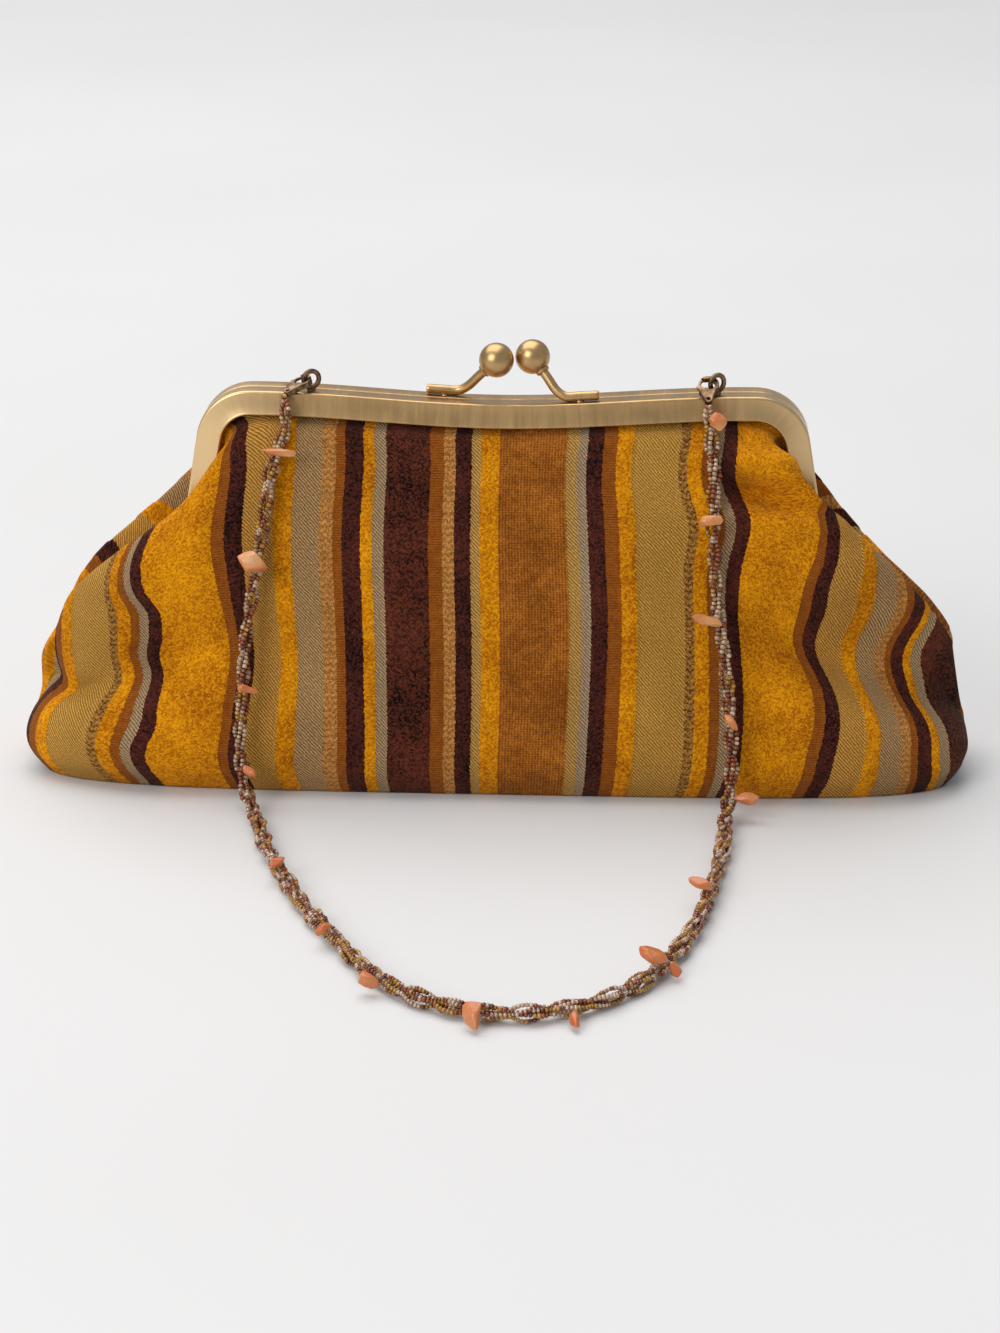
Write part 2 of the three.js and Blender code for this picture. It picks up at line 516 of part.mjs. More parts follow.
// A panel as columns of cloth points with their outward directions; the back is the front turned about.
function panelGrid(panel) {
  const right = STATIONS.map((row) => stationPoints(row, 1));
  const left = STATIONS.map((row) => stationPoints(row, -1)).reverse();
  const stations = [...left.slice(0, -1), ...right];
  const rails = stations[0].map((_, k) => {
    const through = stations.map((points) => points[k]);
    return new THREE.CatmullRomCurve3(through, false, "centripetal");
  });
  const columns = (stations.length - 1) * COLUMNS_PER_STATION;
  const sewn = (STATIONS.length - 1 - STATIONS.findIndex((row) => row.hold === "seam")) * COLUMNS_PER_STATION;
  const spans = Object.values(ROWS);
  const grid = [];
  for (let j = 0; j <= columns; j += 1) {
    const knots = rails.map((rail) => rail.getPoint(j / columns));
    const line = new THREE.CatmullRomCurve3(knots, false, "centripetal");
    const column = [line.getPoint(0)];
    spans.forEach((rows, span) => {
      for (let i = 1; i <= rows; i += 1) column.push(line.getPoint((span + i / rows) / spans.length));
    });
    if (j === 0 || j === columns) for (const p of column) p.y = 0;
    if (j <= sewn || j >= columns - sewn) column[0].y = 0;
    column[column.length - 1].z = 0;
    grid.push(column);
  }
  const face = panel === "front" ? 1 : -1;
  for (const column of grid) for (const p of column) p.y *= face;
  const outward = () =>
    grid.map((column, j) =>
      column.map((p, i) => {
        const across = grid[Math.min(j + 1, columns)][i].clone().sub(grid[Math.max(j - 1, 0)][i]);
        const down = column[Math.min(i + 1, column.length - 1)].clone().sub(column[Math.max(i - 1, 0)]);
        const normal = down.cross(across).multiplyScalar(face).normalize();
        if (Math.abs(p.y) < 1e-6) normal.setY(0).normalize();
        if (j === 0 || j === columns) normal.set(j === 0 ? -1 : 1, 0, i === column.length - 1 ? -1 : 0).normalize();
        return normal;
      }),
    );
  const lean = outward();
  const firstPushed = ROWS.slot + ROWS.mouth + ROWS.lip;
  grid.forEach((column, j) =>
    column.forEach((p, i) => {
      const held = j > sewn && j < columns - sewn;
      if ((held && i < firstPushed) || i === column.length - 1) return;
      const shared = j === 0 || j === columns || (!held && i <= 1);
      const front = movedBy(shared || panel === "front" ? "front" : "back", p.x, p.z);
      const back = movedBy(shared || panel === "back" ? "back" : "front", p.x, p.z);
      p.addScaledVector(lean[j][i], (front.push + back.push) / 2);
      p.x += (front.shift + back.shift) / 2;
    }),
  );
  return { grid, normals: outward() };
}

// The pouch: an outer and an inner skin, joined along the edges that the channels hold.
function pouchSolid() {
  const points = [];
  const tri = (a, b, c) => {
    const shortest = Math.min(a.distanceTo(b), b.distanceTo(c), c.distanceTo(a));
    if (shortest > 1e-3) points.push(a, b, c);
  };
  const quad = (a, b, c, d) => {
    tri(a, b, c);
    tri(a, c, d);
  };
  const panels = [panelGrid("front"), panelGrid("back")];
  const columns = panels[0].grid.length - 1;
  const last = panels[0].grid[0].length - 1;
  for (const panel of panels) {
    panel.inner = panel.grid.map((column, j) =>
      column.map((p, i) => {
        const moved = p.clone().addScaledVector(panel.normals[j][i], -CLOTH);
        if (i === last) moved.z = CLOTH;
        return moved;
      }),
    );
  }
  panels.forEach((panel, turned) => {
    const face = (a, b, c, d) => (turned ? quad(d, c, b, a) : quad(a, b, c, d));
    for (let j = 0; j < columns; j += 1) {
      for (let i = 0; i < last; i += 1) {
        face(panel.grid[j][i], panel.grid[j][i + 1], panel.grid[j + 1][i + 1], panel.grid[j + 1][i]);
        face(panel.inner[j][i], panel.inner[j + 1][i], panel.inner[j + 1][i + 1], panel.inner[j][i + 1]);
      }
      const open = Math.abs(panel.grid[j][0].y) > 1e-6 || Math.abs(panel.grid[j + 1][0].y) > 1e-6;
      if (open) face(panel.grid[j][0], panel.grid[j + 1][0], panel.inner[j + 1][0], panel.inner[j][0]);
    }
  });
  const [front, back] = panels;
  for (let j = 0; j < columns; j += 1) {
    quad(front.grid[j][last], back.grid[j][last], back.grid[j + 1][last], front.grid[j + 1][last]);
    quad(front.inner[j][last], front.inner[j + 1][last], back.inner[j + 1][last], back.inner[j][last]);
  }
  return solidOf(new THREE.BufferGeometry().setFromPoints(points));
}

addNode("pouch", pouchSolid(), COLOURS.cloth);

// Rope: one thick bundle of bead strings from clasp to clasp.
const route = ROPE_ROUTE.map((p) => new THREE.Vector3(...p));
addNode("bead_rope", tubeSolid(route, ROPE_RADIUS, ROPE_SIDES, ROPE_STEPS), COLOURS.bead);

// Chips: rounded irregular stones, each strung on an outer string of the rope.
function chipGeometry(chip, index) {
  const stone = new THREE.IcosahedronGeometry(0.5, 1);
  const spots = stone.attributes.position;
  const p = new THREE.Vector3();
  for (let i = 0; i < spots.count; i += 1) {
    p.fromBufferAttribute(spots, i);
    const swell = 1 + 0.1 * Math.sin(7 * p.x + 2.1 * index) + 0.1 * Math.sin(6 * p.y - 1.7 * index + 5 * p.z);
    const taper = 1 + 0.5 * p.x * Math.cos(1.3 * index);
    spots.setXYZ(i, p.x * swell * chip.length, p.y * swell * taper * chip.width, p.z * swell * taper * chip.thick);
  }
  return stone;
}

const ropeLine = new THREE.CatmullRomCurve3(route, false, "centripetal");
CHIPS.forEach((chip, index) => {
  const spot = ropeLine.getPointAt(chip.along);
  const tangent = ropeLine.getTangentAt(chip.along);
  const viewer = new THREE.Vector3(0, -0.9, 0.43);
  const out = viewer.addScaledVector(tangent, -viewer.dot(tangent)).normalize();
  out.applyAxisAngle(tangent, THREE.MathUtils.degToRad(chip.turn));
  const lying = tangent.clone().applyAxisAngle(out, THREE.MathUtils.degToRad(chip.lean));
  const tilt = THREE.MathUtils.degToRad(chip.tilt);
  const length = lying.clone().multiplyScalar(Math.cos(tilt)).addScaledVector(out, Math.sin(tilt));
  const thick = out.clone().multiplyScalar(Math.cos(tilt)).addScaledVector(lying, -Math.sin(tilt));
  const width = new THREE.Vector3().crossVectors(thick, length);
  const stone = chipGeometry(chip, index);
  stone.applyMatrix4(new THREE.Matrix4().makeBasis(length, width, thick));
  const corner = new THREE.Vector3();
  let nearest = 0;
  for (let i = 0; i < stone.attributes.position.count; i += 1) {
    nearest = Math.min(nearest, corner.fromBufferAttribute(stone.attributes.position, i).dot(out));
  }
  const middle = spot.addScaledVector(out, ROPE_RADIUS + CHIP_GAP - nearest);
  stone.translate(middle.x, middle.y, middle.z);
  addNode("coral_chip_" + String(index + 1).padStart(2, "0"), solidOf(stone), COLOURS.coral);
});

export default group;
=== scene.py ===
"""The looks of a soft striped clutch with a brass ball-lock frame and a beaded handle.

Sizes are written in millimetres and become metres where a mesh is made. +Z is up and the front faces -Y.
"""
import math

import bmesh
import bpy
import numpy as np
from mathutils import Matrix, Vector, noise


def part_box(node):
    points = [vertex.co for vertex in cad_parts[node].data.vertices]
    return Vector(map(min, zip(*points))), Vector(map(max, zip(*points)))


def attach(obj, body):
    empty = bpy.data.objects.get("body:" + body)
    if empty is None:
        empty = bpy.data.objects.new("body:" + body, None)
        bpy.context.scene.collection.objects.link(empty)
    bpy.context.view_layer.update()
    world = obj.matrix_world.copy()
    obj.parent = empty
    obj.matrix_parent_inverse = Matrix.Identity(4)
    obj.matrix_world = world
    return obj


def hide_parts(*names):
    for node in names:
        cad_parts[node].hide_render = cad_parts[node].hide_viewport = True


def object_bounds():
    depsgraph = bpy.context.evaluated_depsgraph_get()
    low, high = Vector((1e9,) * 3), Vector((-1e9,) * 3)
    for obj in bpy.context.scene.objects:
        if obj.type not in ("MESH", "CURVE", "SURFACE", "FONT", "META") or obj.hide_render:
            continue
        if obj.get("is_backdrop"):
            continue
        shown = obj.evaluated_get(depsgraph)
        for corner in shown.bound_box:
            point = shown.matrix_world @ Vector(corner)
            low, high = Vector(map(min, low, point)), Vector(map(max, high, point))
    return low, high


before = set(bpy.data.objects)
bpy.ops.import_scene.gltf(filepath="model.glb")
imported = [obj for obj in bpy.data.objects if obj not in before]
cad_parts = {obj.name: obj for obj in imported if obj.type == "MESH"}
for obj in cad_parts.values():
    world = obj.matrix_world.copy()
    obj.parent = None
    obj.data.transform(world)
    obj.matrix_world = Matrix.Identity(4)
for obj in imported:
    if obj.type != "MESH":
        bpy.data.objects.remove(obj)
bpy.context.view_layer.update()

# Brass frame: two U channels of plated steel bent to one outline and brushed across. Each half carries an
# arm of the ball lock, soldered along its top, with a spun ball in a collar, and an ear at each leg end.
MM = 0.001
WELD = 1e-6
FRAME_TOP = 126
FRAME_DIP = 3.5
FRAME_SHOULDER = 80
FRAME_CORNER = 17.5
FRAME_FLARE = math.radians(10)
FRAME_FOOT = 72
BAND = 8
BAND_INNER = 7
CHANNEL = 6.6
METAL = 0.9
HALF_GAP = 0.2
CHANNEL_MIDDLE = HALF_GAP + CHANNEL / 2
TOP_ROUND = 0.8
BACK_ROUND = 0.3
ROLL_RADIUS = 0.65
ROLL_PROUD = 0.15
BAR_STEPS = 44
CORNER_STEPS = 16
LEG_STEPS = 6
HINGE_Z = 67
EAR_RADIUS = 3.3
EAR_THICK = 1.2
EAR_X = {"front": 100.6, "back": 98.9}
EAR_TOP = 73.4
EAR_INSET = 0.4
EAR_HEEL = 1.5
EAR_ROUND_END = -135
BALL_RADIUS = 5.5
ARM_RADIUS = 1.5
ARM_LIFT = 1.7
BALL_STEPS = 28
COLLAR = [(0, -0.6), (1.85, -0.6), (2.2, -0.3), (2.3, 0.4), (2, 0.7), (0, 0.7)]
COLLAR_GAP = 0.1
ARM_POINTS = 60
ARM_CHAMFER = 0.25
ARM_BEND = (1.5, 2.2)
ARM_IN_BALL = 0.6
SOLDER = [(1.5, -0.3), (1.25, 0.25), (0.7, 0.8), (0, 1.1)]
LOCK_ARMS = {
    "back": {"foot_outer": -24.5, "foot_inner": -13, "ball": (-2, -1.6, 135.8)},
    "front": {"foot_outer": 30.5, "foot_inner": 18.5, "ball": (9.3, 1.6, 136.2)},
}


def shade(red, green, blue):
    """A paint chip's 0 to 255 values as a shader colour."""
    levels = [level / 255 for level in (red, green, blue)]
    return tuple(((c + 0.055) / 1.055) ** 2.4 if c > 0.04045 else c / 12.92 for c in levels) + (1,)


def join(tree, node, sockets):
    """Sets a node's sockets to values, or joins them to other nodes' outputs."""
    for key, value in sockets.items():
        if isinstance(value, bpy.types.NodeSocket):
            tree.links.new(value, node.inputs[key])
        else:
            node.inputs[key].default_value = value


def put(tree, kind, sockets=None, **settings):
    """One node with its settings and its sockets."""
    node = tree.nodes.new(kind)
    for name, value in settings.items():
        setattr(node, name, value)
    join(tree, node, sockets or {})
    return node


def calc(tree, operation, *values):
    """A sum between values and sockets."""
    return put(tree, "ShaderNodeMath", dict(enumerate(values)), operation=operation).outputs[0]


def mixed(tree, share, first, second):
    """A colour between two, by a share from 0 to 1."""
    sockets = {0: share, 6: first, 7: second}
    return put(tree, "ShaderNodeMix", sockets, data_type="RGBA", clamp_factor=True).outputs[2]


def ranged(tree, value, low, high, to_low, to_high):
    """A value carried from one range to another, and held inside it."""
    return put(tree, "ShaderNodeMapRange", {0: value, 1: low, 2: high, 3: to_low, 4: to_high}).outputs[0]


def clouded(tree, place, scale, detail, rough=0.5):
    """Soft noise over places, in so many waves to a unit."""
    sockets = {"Vector": place, "Scale": scale, "Detail": detail, "Roughness": rough}
    return put(tree, "ShaderNodeTexNoise", sockets).outputs["Fac"]


def stretched(tree, place, scale):
    """Places drawn out or pressed together along each axis."""
    return put(tree, "ShaderNodeMapping", {"Vector": place, "Scale": scale}).outputs["Vector"]


def engrave(tree, surface, height, strength, depth):
    """Lets a height show as relief in a surface's light."""
    relief = put(tree, "ShaderNodeBump", {"Height": height, "Strength": strength, "Distance": depth})
    join(tree, surface, {"Normal": relief.outputs["Normal"]})


def new_finish(name):
    """An empty material with its tree and its surface."""
    material = bpy.data.materials.new(name)
    material.use_nodes = True
    return material, material.node_tree, material.node_tree.nodes["Principled BSDF"]


def brass_finish():
    """Antique brass: brush lines across the band, tarnish in clouds, and a painted highlight that lightens
    both ends, more on the left.
    """
    material, tree, surface = new_finish("brushed_brass")
    place = put(tree, "ShaderNodeUVMap", uv_map="finish").outputs["UV"]
    brushed = clouded(tree, stretched(tree, place, (2600, 90, 1)), 1, 3)
    streaks = clouded(tree, stretched(tree, place, (420, 45, 1)), 1, 2)
    spot = put(tree, "ShaderNodeTexCoord").outputs["Object"]
    clouds = clouded(tree, spot, 55, 4)
    worn = calc(tree, "ADD", calc(tree, "MULTIPLY", brushed, 0.45), calc(tree, "MULTIPLY", streaks, 0.55))
    colour = mixed(tree, ranged(tree, worn, 0.36, 0.64, 0, 1), shade(180, 146, 100), shade(196, 162, 114))
    colour = mixed(tree, ranged(tree, clouds, 0.5, 0.72, 0, 0.5), colour, shade(146, 114, 74))
    # Painted highlight: the ends of the frame are mixed towards a pale brass, strongest at the left end,
    # standing in for the reflection of light from the left.
    along = put(tree, "ShaderNodeSeparateXYZ", {0: spot}).outputs[0]
    left_painted_highlight = ranged(tree, along, -0.096, -0.064, 0.9, 0)
    right_painted_highlight = ranged(tree, along, 0.07, 0.098, 0, 0.6)
    colour = mixed(tree, calc(tree, "MAXIMUM", left_painted_highlight, right_painted_highlight), colour, shade(234, 202, 152))
    rough = ranged(tree, worn, 0.3, 0.7, 0.3, 0.38)
    join(tree, surface, {"Base Color": colour, "Metallic": 1, "Roughness": rough})
    engrave(tree, surface, brushed, 0.2, 0.00005)
    return material


def skin(points, spots, around=False):
    """A grid of points as faces; spots are the corners' places on the finish, one more column if around."""
    rows, columns = points.shape[:2]
    faces, corners = [], []
    for i in range(rows - 1):
        for j in range(columns if around else columns - 1):
            k = (j + 1) % columns
            faces.append((i * columns + j, (i + 1) * columns + j, (i + 1) * columns + k, i * columns + k))
            corners += [spots[i][j], spots[i + 1][j], spots[i + 1][j + 1], spots[i][j + 1]]
    return {"points": points.reshape(-1, 3), "faces": faces, "corners": corners}


def lid(points, spot=(0, 0)):
    """One flat face through a ring of points."""
    return {"points": points, "faces": [tuple(range(len(points)))], "corners": [spot] * len(points)}


def new_piece(name, data):
    """An object of its own in the scene."""
    piece = bpy.data.objects.new(name, data)
    bpy.context.scene.collection.objects.link(piece)
    return piece


def all_smooth(mesh):
    """Lets the faces of a mesh shade into each other."""
    mesh.polygons.foreach_set("use_smooth", [True] * len(mesh.polygons))


def made_piece(name, skins, material, crease=35):
    """Joins skins into one closed piece, welds their seams and turns the faces outwards."""
    points, faces, corners = [], [], []
    for part in skins:
        start = len(points)
        points += [tuple(p) for p in np.asarray(part["points"]) * MM]
        faces += [tuple(start + k for k in face) for face in part["faces"]]
        corners += [tuple(c) for c in part["corners"]]
    mesh = bpy.data.meshes.new(name)
    mesh.from_pydata(points, [], faces)
    mesh.uv_layers.new(name="finish").data.foreach_set("uv", np.array(corners, float).ravel() * MM)
    work = bmesh.new()
    work.from_mesh(mesh)
    bmesh.ops.remove_doubles(work, verts=work.verts, dist=WELD)
    bmesh.ops.dissolve_degenerate(work, edges=work.edges, dist=1e-7)
    bmesh.ops.recalc_face_normals(work, faces=work.faces)
    work.to_mesh(mesh)
    work.free()
    all_smooth(mesh)
    mesh.set_sharp_from_angle(angle=math.radians(crease))
    mesh.materials.append(material)
    return new_piece(name, mesh)


def way_along(line):
    """The length of a line up to each of its points."""
    return np.concatenate([[0], np.cumsum(np.linalg.norm(np.diff(line, axis=0), axis=1))])


def chart_of(along, across):
    """Places on a finish for the corners of a grid."""
    return np.stack(np.meshgrid(along, across, indexing="ij"), axis=2)


def full_turn(steps):
    """Angles of even steps around a circle."""
    return np.linspace(0, 2 * math.pi, steps, endpoint=False)


def smooth_line(knots, shares):
    """Points on a smooth line through the knots, at shares of the way from the first to the last."""
    knots = np.asarray(knots, float)
    spread = np.vstack([2 * knots[0] - knots[1], knots, 2 * knots[-1] - knots[-2]])
    way = np.clip(np.asarray(shares, float), 0, 1) * (len(knots) - 1)
    span = np.minimum(way.astype(int), len(knots) - 2)
    w = (way - span)[:, None]
    a, b, c, d = (spread[span + k] for k in range(4))
    chords = [np.linalg.norm(q - p, axis=1)[:, None] for p, q in ((a, b), (b, c), (c, d))]
    gaps = [np.maximum(chord, 1e-6) ** 0.5 for chord in chords]
    lead = ((b - a) / gaps[0] - (c - a) / (gaps[0] + gaps[1]) + (c - b) / gaps[1]) * gaps[1]
    trail = ((c - b) / gaps[1] - (d - b) / (gaps[1] + gaps[2]) + (d - c) / gaps[2]) * gaps[1]
    return b + lead * w + (3 * (c - b) - 2 * lead - trail) * w**2 + (2 * (b - c) + lead + trail) * w**3


def frame_edge(place, at):
    """A spot on the right half of the frame's outer edge: x, z and the outward direction."""
    if place == "bar":
        phase = math.pi * at / FRAME_SHOULDER
        slope = FRAME_DIP * math.pi * math.sin(phase) / (2 * FRAME_SHOULDER)
        long = math.hypot(slope, 1)
        return np.array([at, FRAME_TOP - FRAME_DIP * (1 + math.cos(phase)) / 2, -slope / long, 1 / long])
    turn = at if place == "corner" else 1
    angle = math.pi / 2 - turn * (math.pi / 2 - FRAME_FLARE)
    x = FRAME_SHOULDER + FRAME_CORNER * math.cos(angle)
    z = FRAME_TOP - FRAME_CORNER + FRAME_CORNER * math.sin(angle)
    drop = at * (z - FRAME_FOOT) if place == "leg" else 0
    return np.array([x + drop * math.tan(FRAME_FLARE), z - drop, math.cos(angle), math.sin(angle)])


def bar_top(x):
    """The height of the frame's top edge."""
    return frame_edge("bar", x)[1]


def arc(middle, radius, start, end, steps):
    """Points of an arc in a flat section, in degrees."""
    turns = np.radians(np.linspace(start, end, steps + 1))
    return [(middle[0] + radius * math.cos(t), middle[1] + radius * math.sin(t)) for t in turns]


def channel_skins(face):
    """The U channel along the outline, with a rounded top edge and its lower edge rolled inwards."""
    front = HALF_GAP + CHANNEL
    plain = front - ROLL_PROUD
    profile = arc((-TOP_ROUND, plain - TOP_ROUND), TOP_ROUND, 0, 90, 6)
    roll_start = math.degrees(math.asin(1 - ROLL_PROUD / ROLL_RADIUS))
    roll_end = 360 - math.degrees(math.asin((METAL + ROLL_PROUD) / ROLL_RADIUS - 1))
    profile += arc((-BAND + ROLL_RADIUS, front - ROLL_RADIUS), ROLL_RADIUS, roll_start, roll_end, 16)
    inside = plain - METAL
    profile += [(-METAL, inside), (-METAL, HALF_GAP + METAL), (-BAND_INNER, HALF_GAP + METAL)]
    profile.append((-BAND_INNER, HALF_GAP))
    profile += arc((-BACK_ROUND, HALF_GAP + BACK_ROUND), BACK_ROUND, -90, 0, 3)
    profile = np.array(profile)
    right = [frame_edge("bar", FRAME_SHOULDER * i / BAR_STEPS) for i in range(1, BAR_STEPS + 1)]
    right += [frame_edge("corner", i / CORNER_STEPS) for i in range(1, CORNER_STEPS + 1)]
    right += [frame_edge("leg", i / LEG_STEPS) for i in range(1, LEG_STEPS + 1)]
    right = np.array(right)
    left = right[::-1] * (-1, 1, -1, 1)
    outline = np.vstack([left, frame_edge("bar", 0), right])
    x = outline[:, None, 0] + outline[:, None, 2] * profile[None, :, 0]
    z = outline[:, None, 1] + outline[:, None, 3] * profile[None, :, 0]
    points = np.stack([x, np.broadcast_to(face * profile[:, 1], x.shape), z], axis=2)
    spots = chart_of(way_along(outline[:, :2]), way_along(np.vstack([profile, profile[:1]])))
    return [skin(points, spots, around=True), lid(points[0]), lid(points[-1])]


def ear_skins(face, inner_x, side):
    """A plate that hangs from a leg's end and reaches round the rivet."""
    outer, inner = HALF_GAP + CHANNEL - EAR_INSET, HALF_GAP + EAR_INSET
    touch = math.sqrt(EAR_RADIUS**2 - inner**2)
    start = math.degrees(math.atan2(touch, -inner))
    outline = [(-outer, EAR_TOP), (-inner, EAR_TOP)]
    outline += arc((0, HINGE_Z), EAR_RADIUS, start, EAR_ROUND_END, 24) + [(-outer, HINGE_Z + EAR_HEEL)]
    near, far = side * inner_x, side * (inner_x + EAR_THICK)
    plates = [np.array([(x, -face * y, z) for y, z in outline]) for x in (near, far)]
    rim = np.stack(plates)
    spots = np.zeros((2, len(outline) + 1, 2))
    spots[1, :, 0] = EAR_THICK
    spots[:, :, 1] = np.arange(len(outline) + 1) * 0.5
    return [skin(rim, spots, around=True), lid(plates[0]), lid(plates[1])]


def turned_about(line):
    """Directions across a line, carried along it without twisting: two for each point, and the tangents."""
    tangents = np.gradient(line, axis=0)
    tangents /= np.linalg.norm(tangents, axis=1)[:, None]
    side = np.cross(tangents[0], (0, 0, 1) if abs(tangents[0][2]) < 0.9 else (0, 1, 0))
    sides = []
    for tangent in tangents:
        side = side - tangent * (side @ tangent)
        side = side / np.linalg.norm(side)
        sides.append(side)
    sides = np.array(sides)
    return sides, np.cross(tangents, sides), tangents


def tube_skins(line, radii, sides=20):
    """A round rod along a line, with its own radius at each point and flat ends."""
    across, upward, _ = turned_about(line)
    turns = full_turn(sides)
    ring = across[:, None] * np.cos(turns)[None, :, None] + upward[:, None] * np.sin(turns)[None, :, None]
    radii = np.broadcast_to(radii, len(line))
    points = line[:, None] + ring * radii[:, None, None]
    spots = chart_of(way_along(line), np.linspace(0, 2 * math.pi * radii.max(), sides + 1))
    return [skin(points, spots, around=True), lid(points[0]), lid(points[-1])]


def spun_skins(foot, axis, profile, sides=40):
    """A spun piece: a profile of radius and height turned about an axis."""
    axis = np.asarray(axis, float) / np.linalg.norm(axis)
    line = np.array([foot + axis * height for _, height in profile])
    side = np.cross(axis, (1, 0, 0) if abs(axis[0]) < 0.9 else (0, 1, 0))
    side /= np.linalg.norm(side)
    other = np.cross(axis, side)
    turns = full_turn(sides)
    ring = side * np.cos(turns)[:, None] + other * np.sin(turns)[:, None]
    radii = np.array([radius for radius, _ in profile])
    points = line[:, None] + ring[None] * radii[:, None, None]
    heights = way_along(np.array(profile))
    around = np.linspace(0, 2 * math.pi * radii.max(), sides + 1)
    return [skin(points, chart_of(heights, around)[..., ::-1], around=True)]


def lock_skins(half):
    """An arm of the ball lock: foot, bend and rising rod, with a collar and a ball."""
    row = LOCK_ARMS[half]
    depth = -CHANNEL_MIDDLE if half == "front" else CHANNEL_MIDDLE
    toward = math.copysign(1, row["foot_inner"] - row["foot_outer"])
    ball = np.array(row["ball"], float)

    def over_bar(x):
        return np.array([x, depth, bar_top(x) + ARM_LIFT])

    bend = over_bar(row["foot_inner"])
    rise = (ball - bend) / np.linalg.norm(ball - bend)
    middle = (row["foot_outer"] + row["foot_inner"]) / 2
    route = [over_bar(row["foot_outer"]), over_bar(middle)]
    route.append(over_bar(row["foot_inner"] - toward * ARM_BEND[0]))
    route += [bend + rise * ARM_BEND[1], (bend + ball) / 2, ball - rise * BALL_RADIUS * ARM_IN_BALL]
    line = smooth_line(route, np.linspace(0, 1, ARM_POINTS))
    radii = np.full(ARM_POINTS, ARM_RADIUS)
    radii[0] -= ARM_CHAMFER
    skins = tube_skins(line, radii)
    turns = np.linspace(0, math.pi, BALL_STEPS + 1)
    globe = [(BALL_RADIUS * math.sin(t), -BALL_RADIUS * math.cos(t)) for t in turns]
    skins += spun_skins(ball, rise, globe, sides=56)
    skins += spun_skins(ball - rise * (BALL_RADIUS + COLLAR_GAP), rise, COLLAR, sides=28)
    return skins + spun_skins(over_bar(middle) - (0, 0, ARM_LIFT), (0, 0, 1), SOLDER, sides=20)


brass = brass_finish()
for half, face in (("front", -1), ("back", 1)):
    skins = channel_skins(face) + lock_skins(half)
    for side in (-1, 1):
        skins += ear_skins(face, EAR_X[half], side)
    channel = made_piece("brass_frame_" + half, skins, brass)
    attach(channel, "bag")
    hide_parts("frame_" + half)

# Hinge rivets: short brass pins with low heads through the ears at the leg ends, inside the cloth.
# They are turned from rod and set by hammering, so they only need the tarnish of bare brass.


def rivet_finish():
    """Turned brass with dull patches."""
    material, tree, surface = new_finish("rivet_brass")
    spot = put(tree, "ShaderNodeTexCoord").outputs["Object"]
    dull = clouded(tree, spot, 900, 4)
    colour = mixed(tree, ranged(tree, dull, 0.35, 0.65, 0, 1), shade(150, 116, 72), shade(196, 160, 108))
    rough = ranged(tree, dull, 0.3, 0.7, 0.3, 0.5)
    join(tree, surface, {"Base Color": colour, "Metallic": 1, "Roughness": rough})
    return material


rivet_brass = rivet_finish()
for side in ("left", "right"):
    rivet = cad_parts["hinge_rivet_" + side]
    rivet.data.materials.clear()
    rivet.data.materials.append(rivet_brass)

# Pouch: one striped upholstery cloth, velvet pile between bands of twill, sewn up at the sides and pressed
# into the channels of the frame. It sags under the legs, so folds run from there to the side valleys.
CLOTH = 1.8
SLOT_DEPTH = 2.4
MOUTH_DROP = 9
LIP_DROP = 11
LIP_FORWARD = 9.2
FREE_LIP = (98.5, -11, 69)
SEWN_LIP = 0.6
HEM_HALF_WIDTH, HEM_HALF_DEPTH, HEM_Z, HEM_POWER, HEM_SHIFT = 154, 36.5, 11, 4.2, -2.3
BELLY_HALF_WIDTH, BELLY_HALF_DEPTH, BELLY_POWER = 151, 30, 2.6
BASE_INSET = 5
# Lines of the cloth from the middle to the side: the part of the frame that holds the top and where on it,
# or else the free edge; then shoulder, its drop on the left of the front and on the right, belly and hem
HELD_LINES = [
    ("bar", 0, (0, -13, 104), 0, 0, (0, 53), 0),
    ("bar", 40, (40, -13.2, 105), 0, 0, (40.5, 53), 41),
    ("bar", 79, (80, -13.5, 106.5), 0, 0, (81, 53), 82),
    ("corner", 0.55, (91, -14, 103), 1, 0, (93, 53), 92.5),
    ("leg", 0, (97, -14.5, 98.5), 4, 0, (101, 53), 100.5),
    ("leg", 0.42, (102, -15, 94.5), 7, 1.5, (108, 53), 108),
    ("leg", 0.84, (107.5, -14.5, 89), 8.5, 3.5, (114.5, 52), 115.5),
]
FREE_LINES = [
    ((93.5, -5, 66), (114, -13.5, 83), 8, 5, (121, 50), 123),
    ((106, 0, 58.5), (122, -12, 76.5), 6, 6.5, (129, 47), 132.5),
    ((121, 0, 58), (131, -10, 69), 4, 6.8, (137, 43), 140.5),
    ((134, 0, 53), (139, -8, 60), 2, 5.5, (144, 37), 147.5),
    ((145, 0, 42), (146.5, -5, 45), 0, 2.5, (149, 29), 152),
    ((151, 0, 26), (151.6, 0, 22), 0, 0, (152.6, 17), 154),
]
SEWN_STATIONS = 4
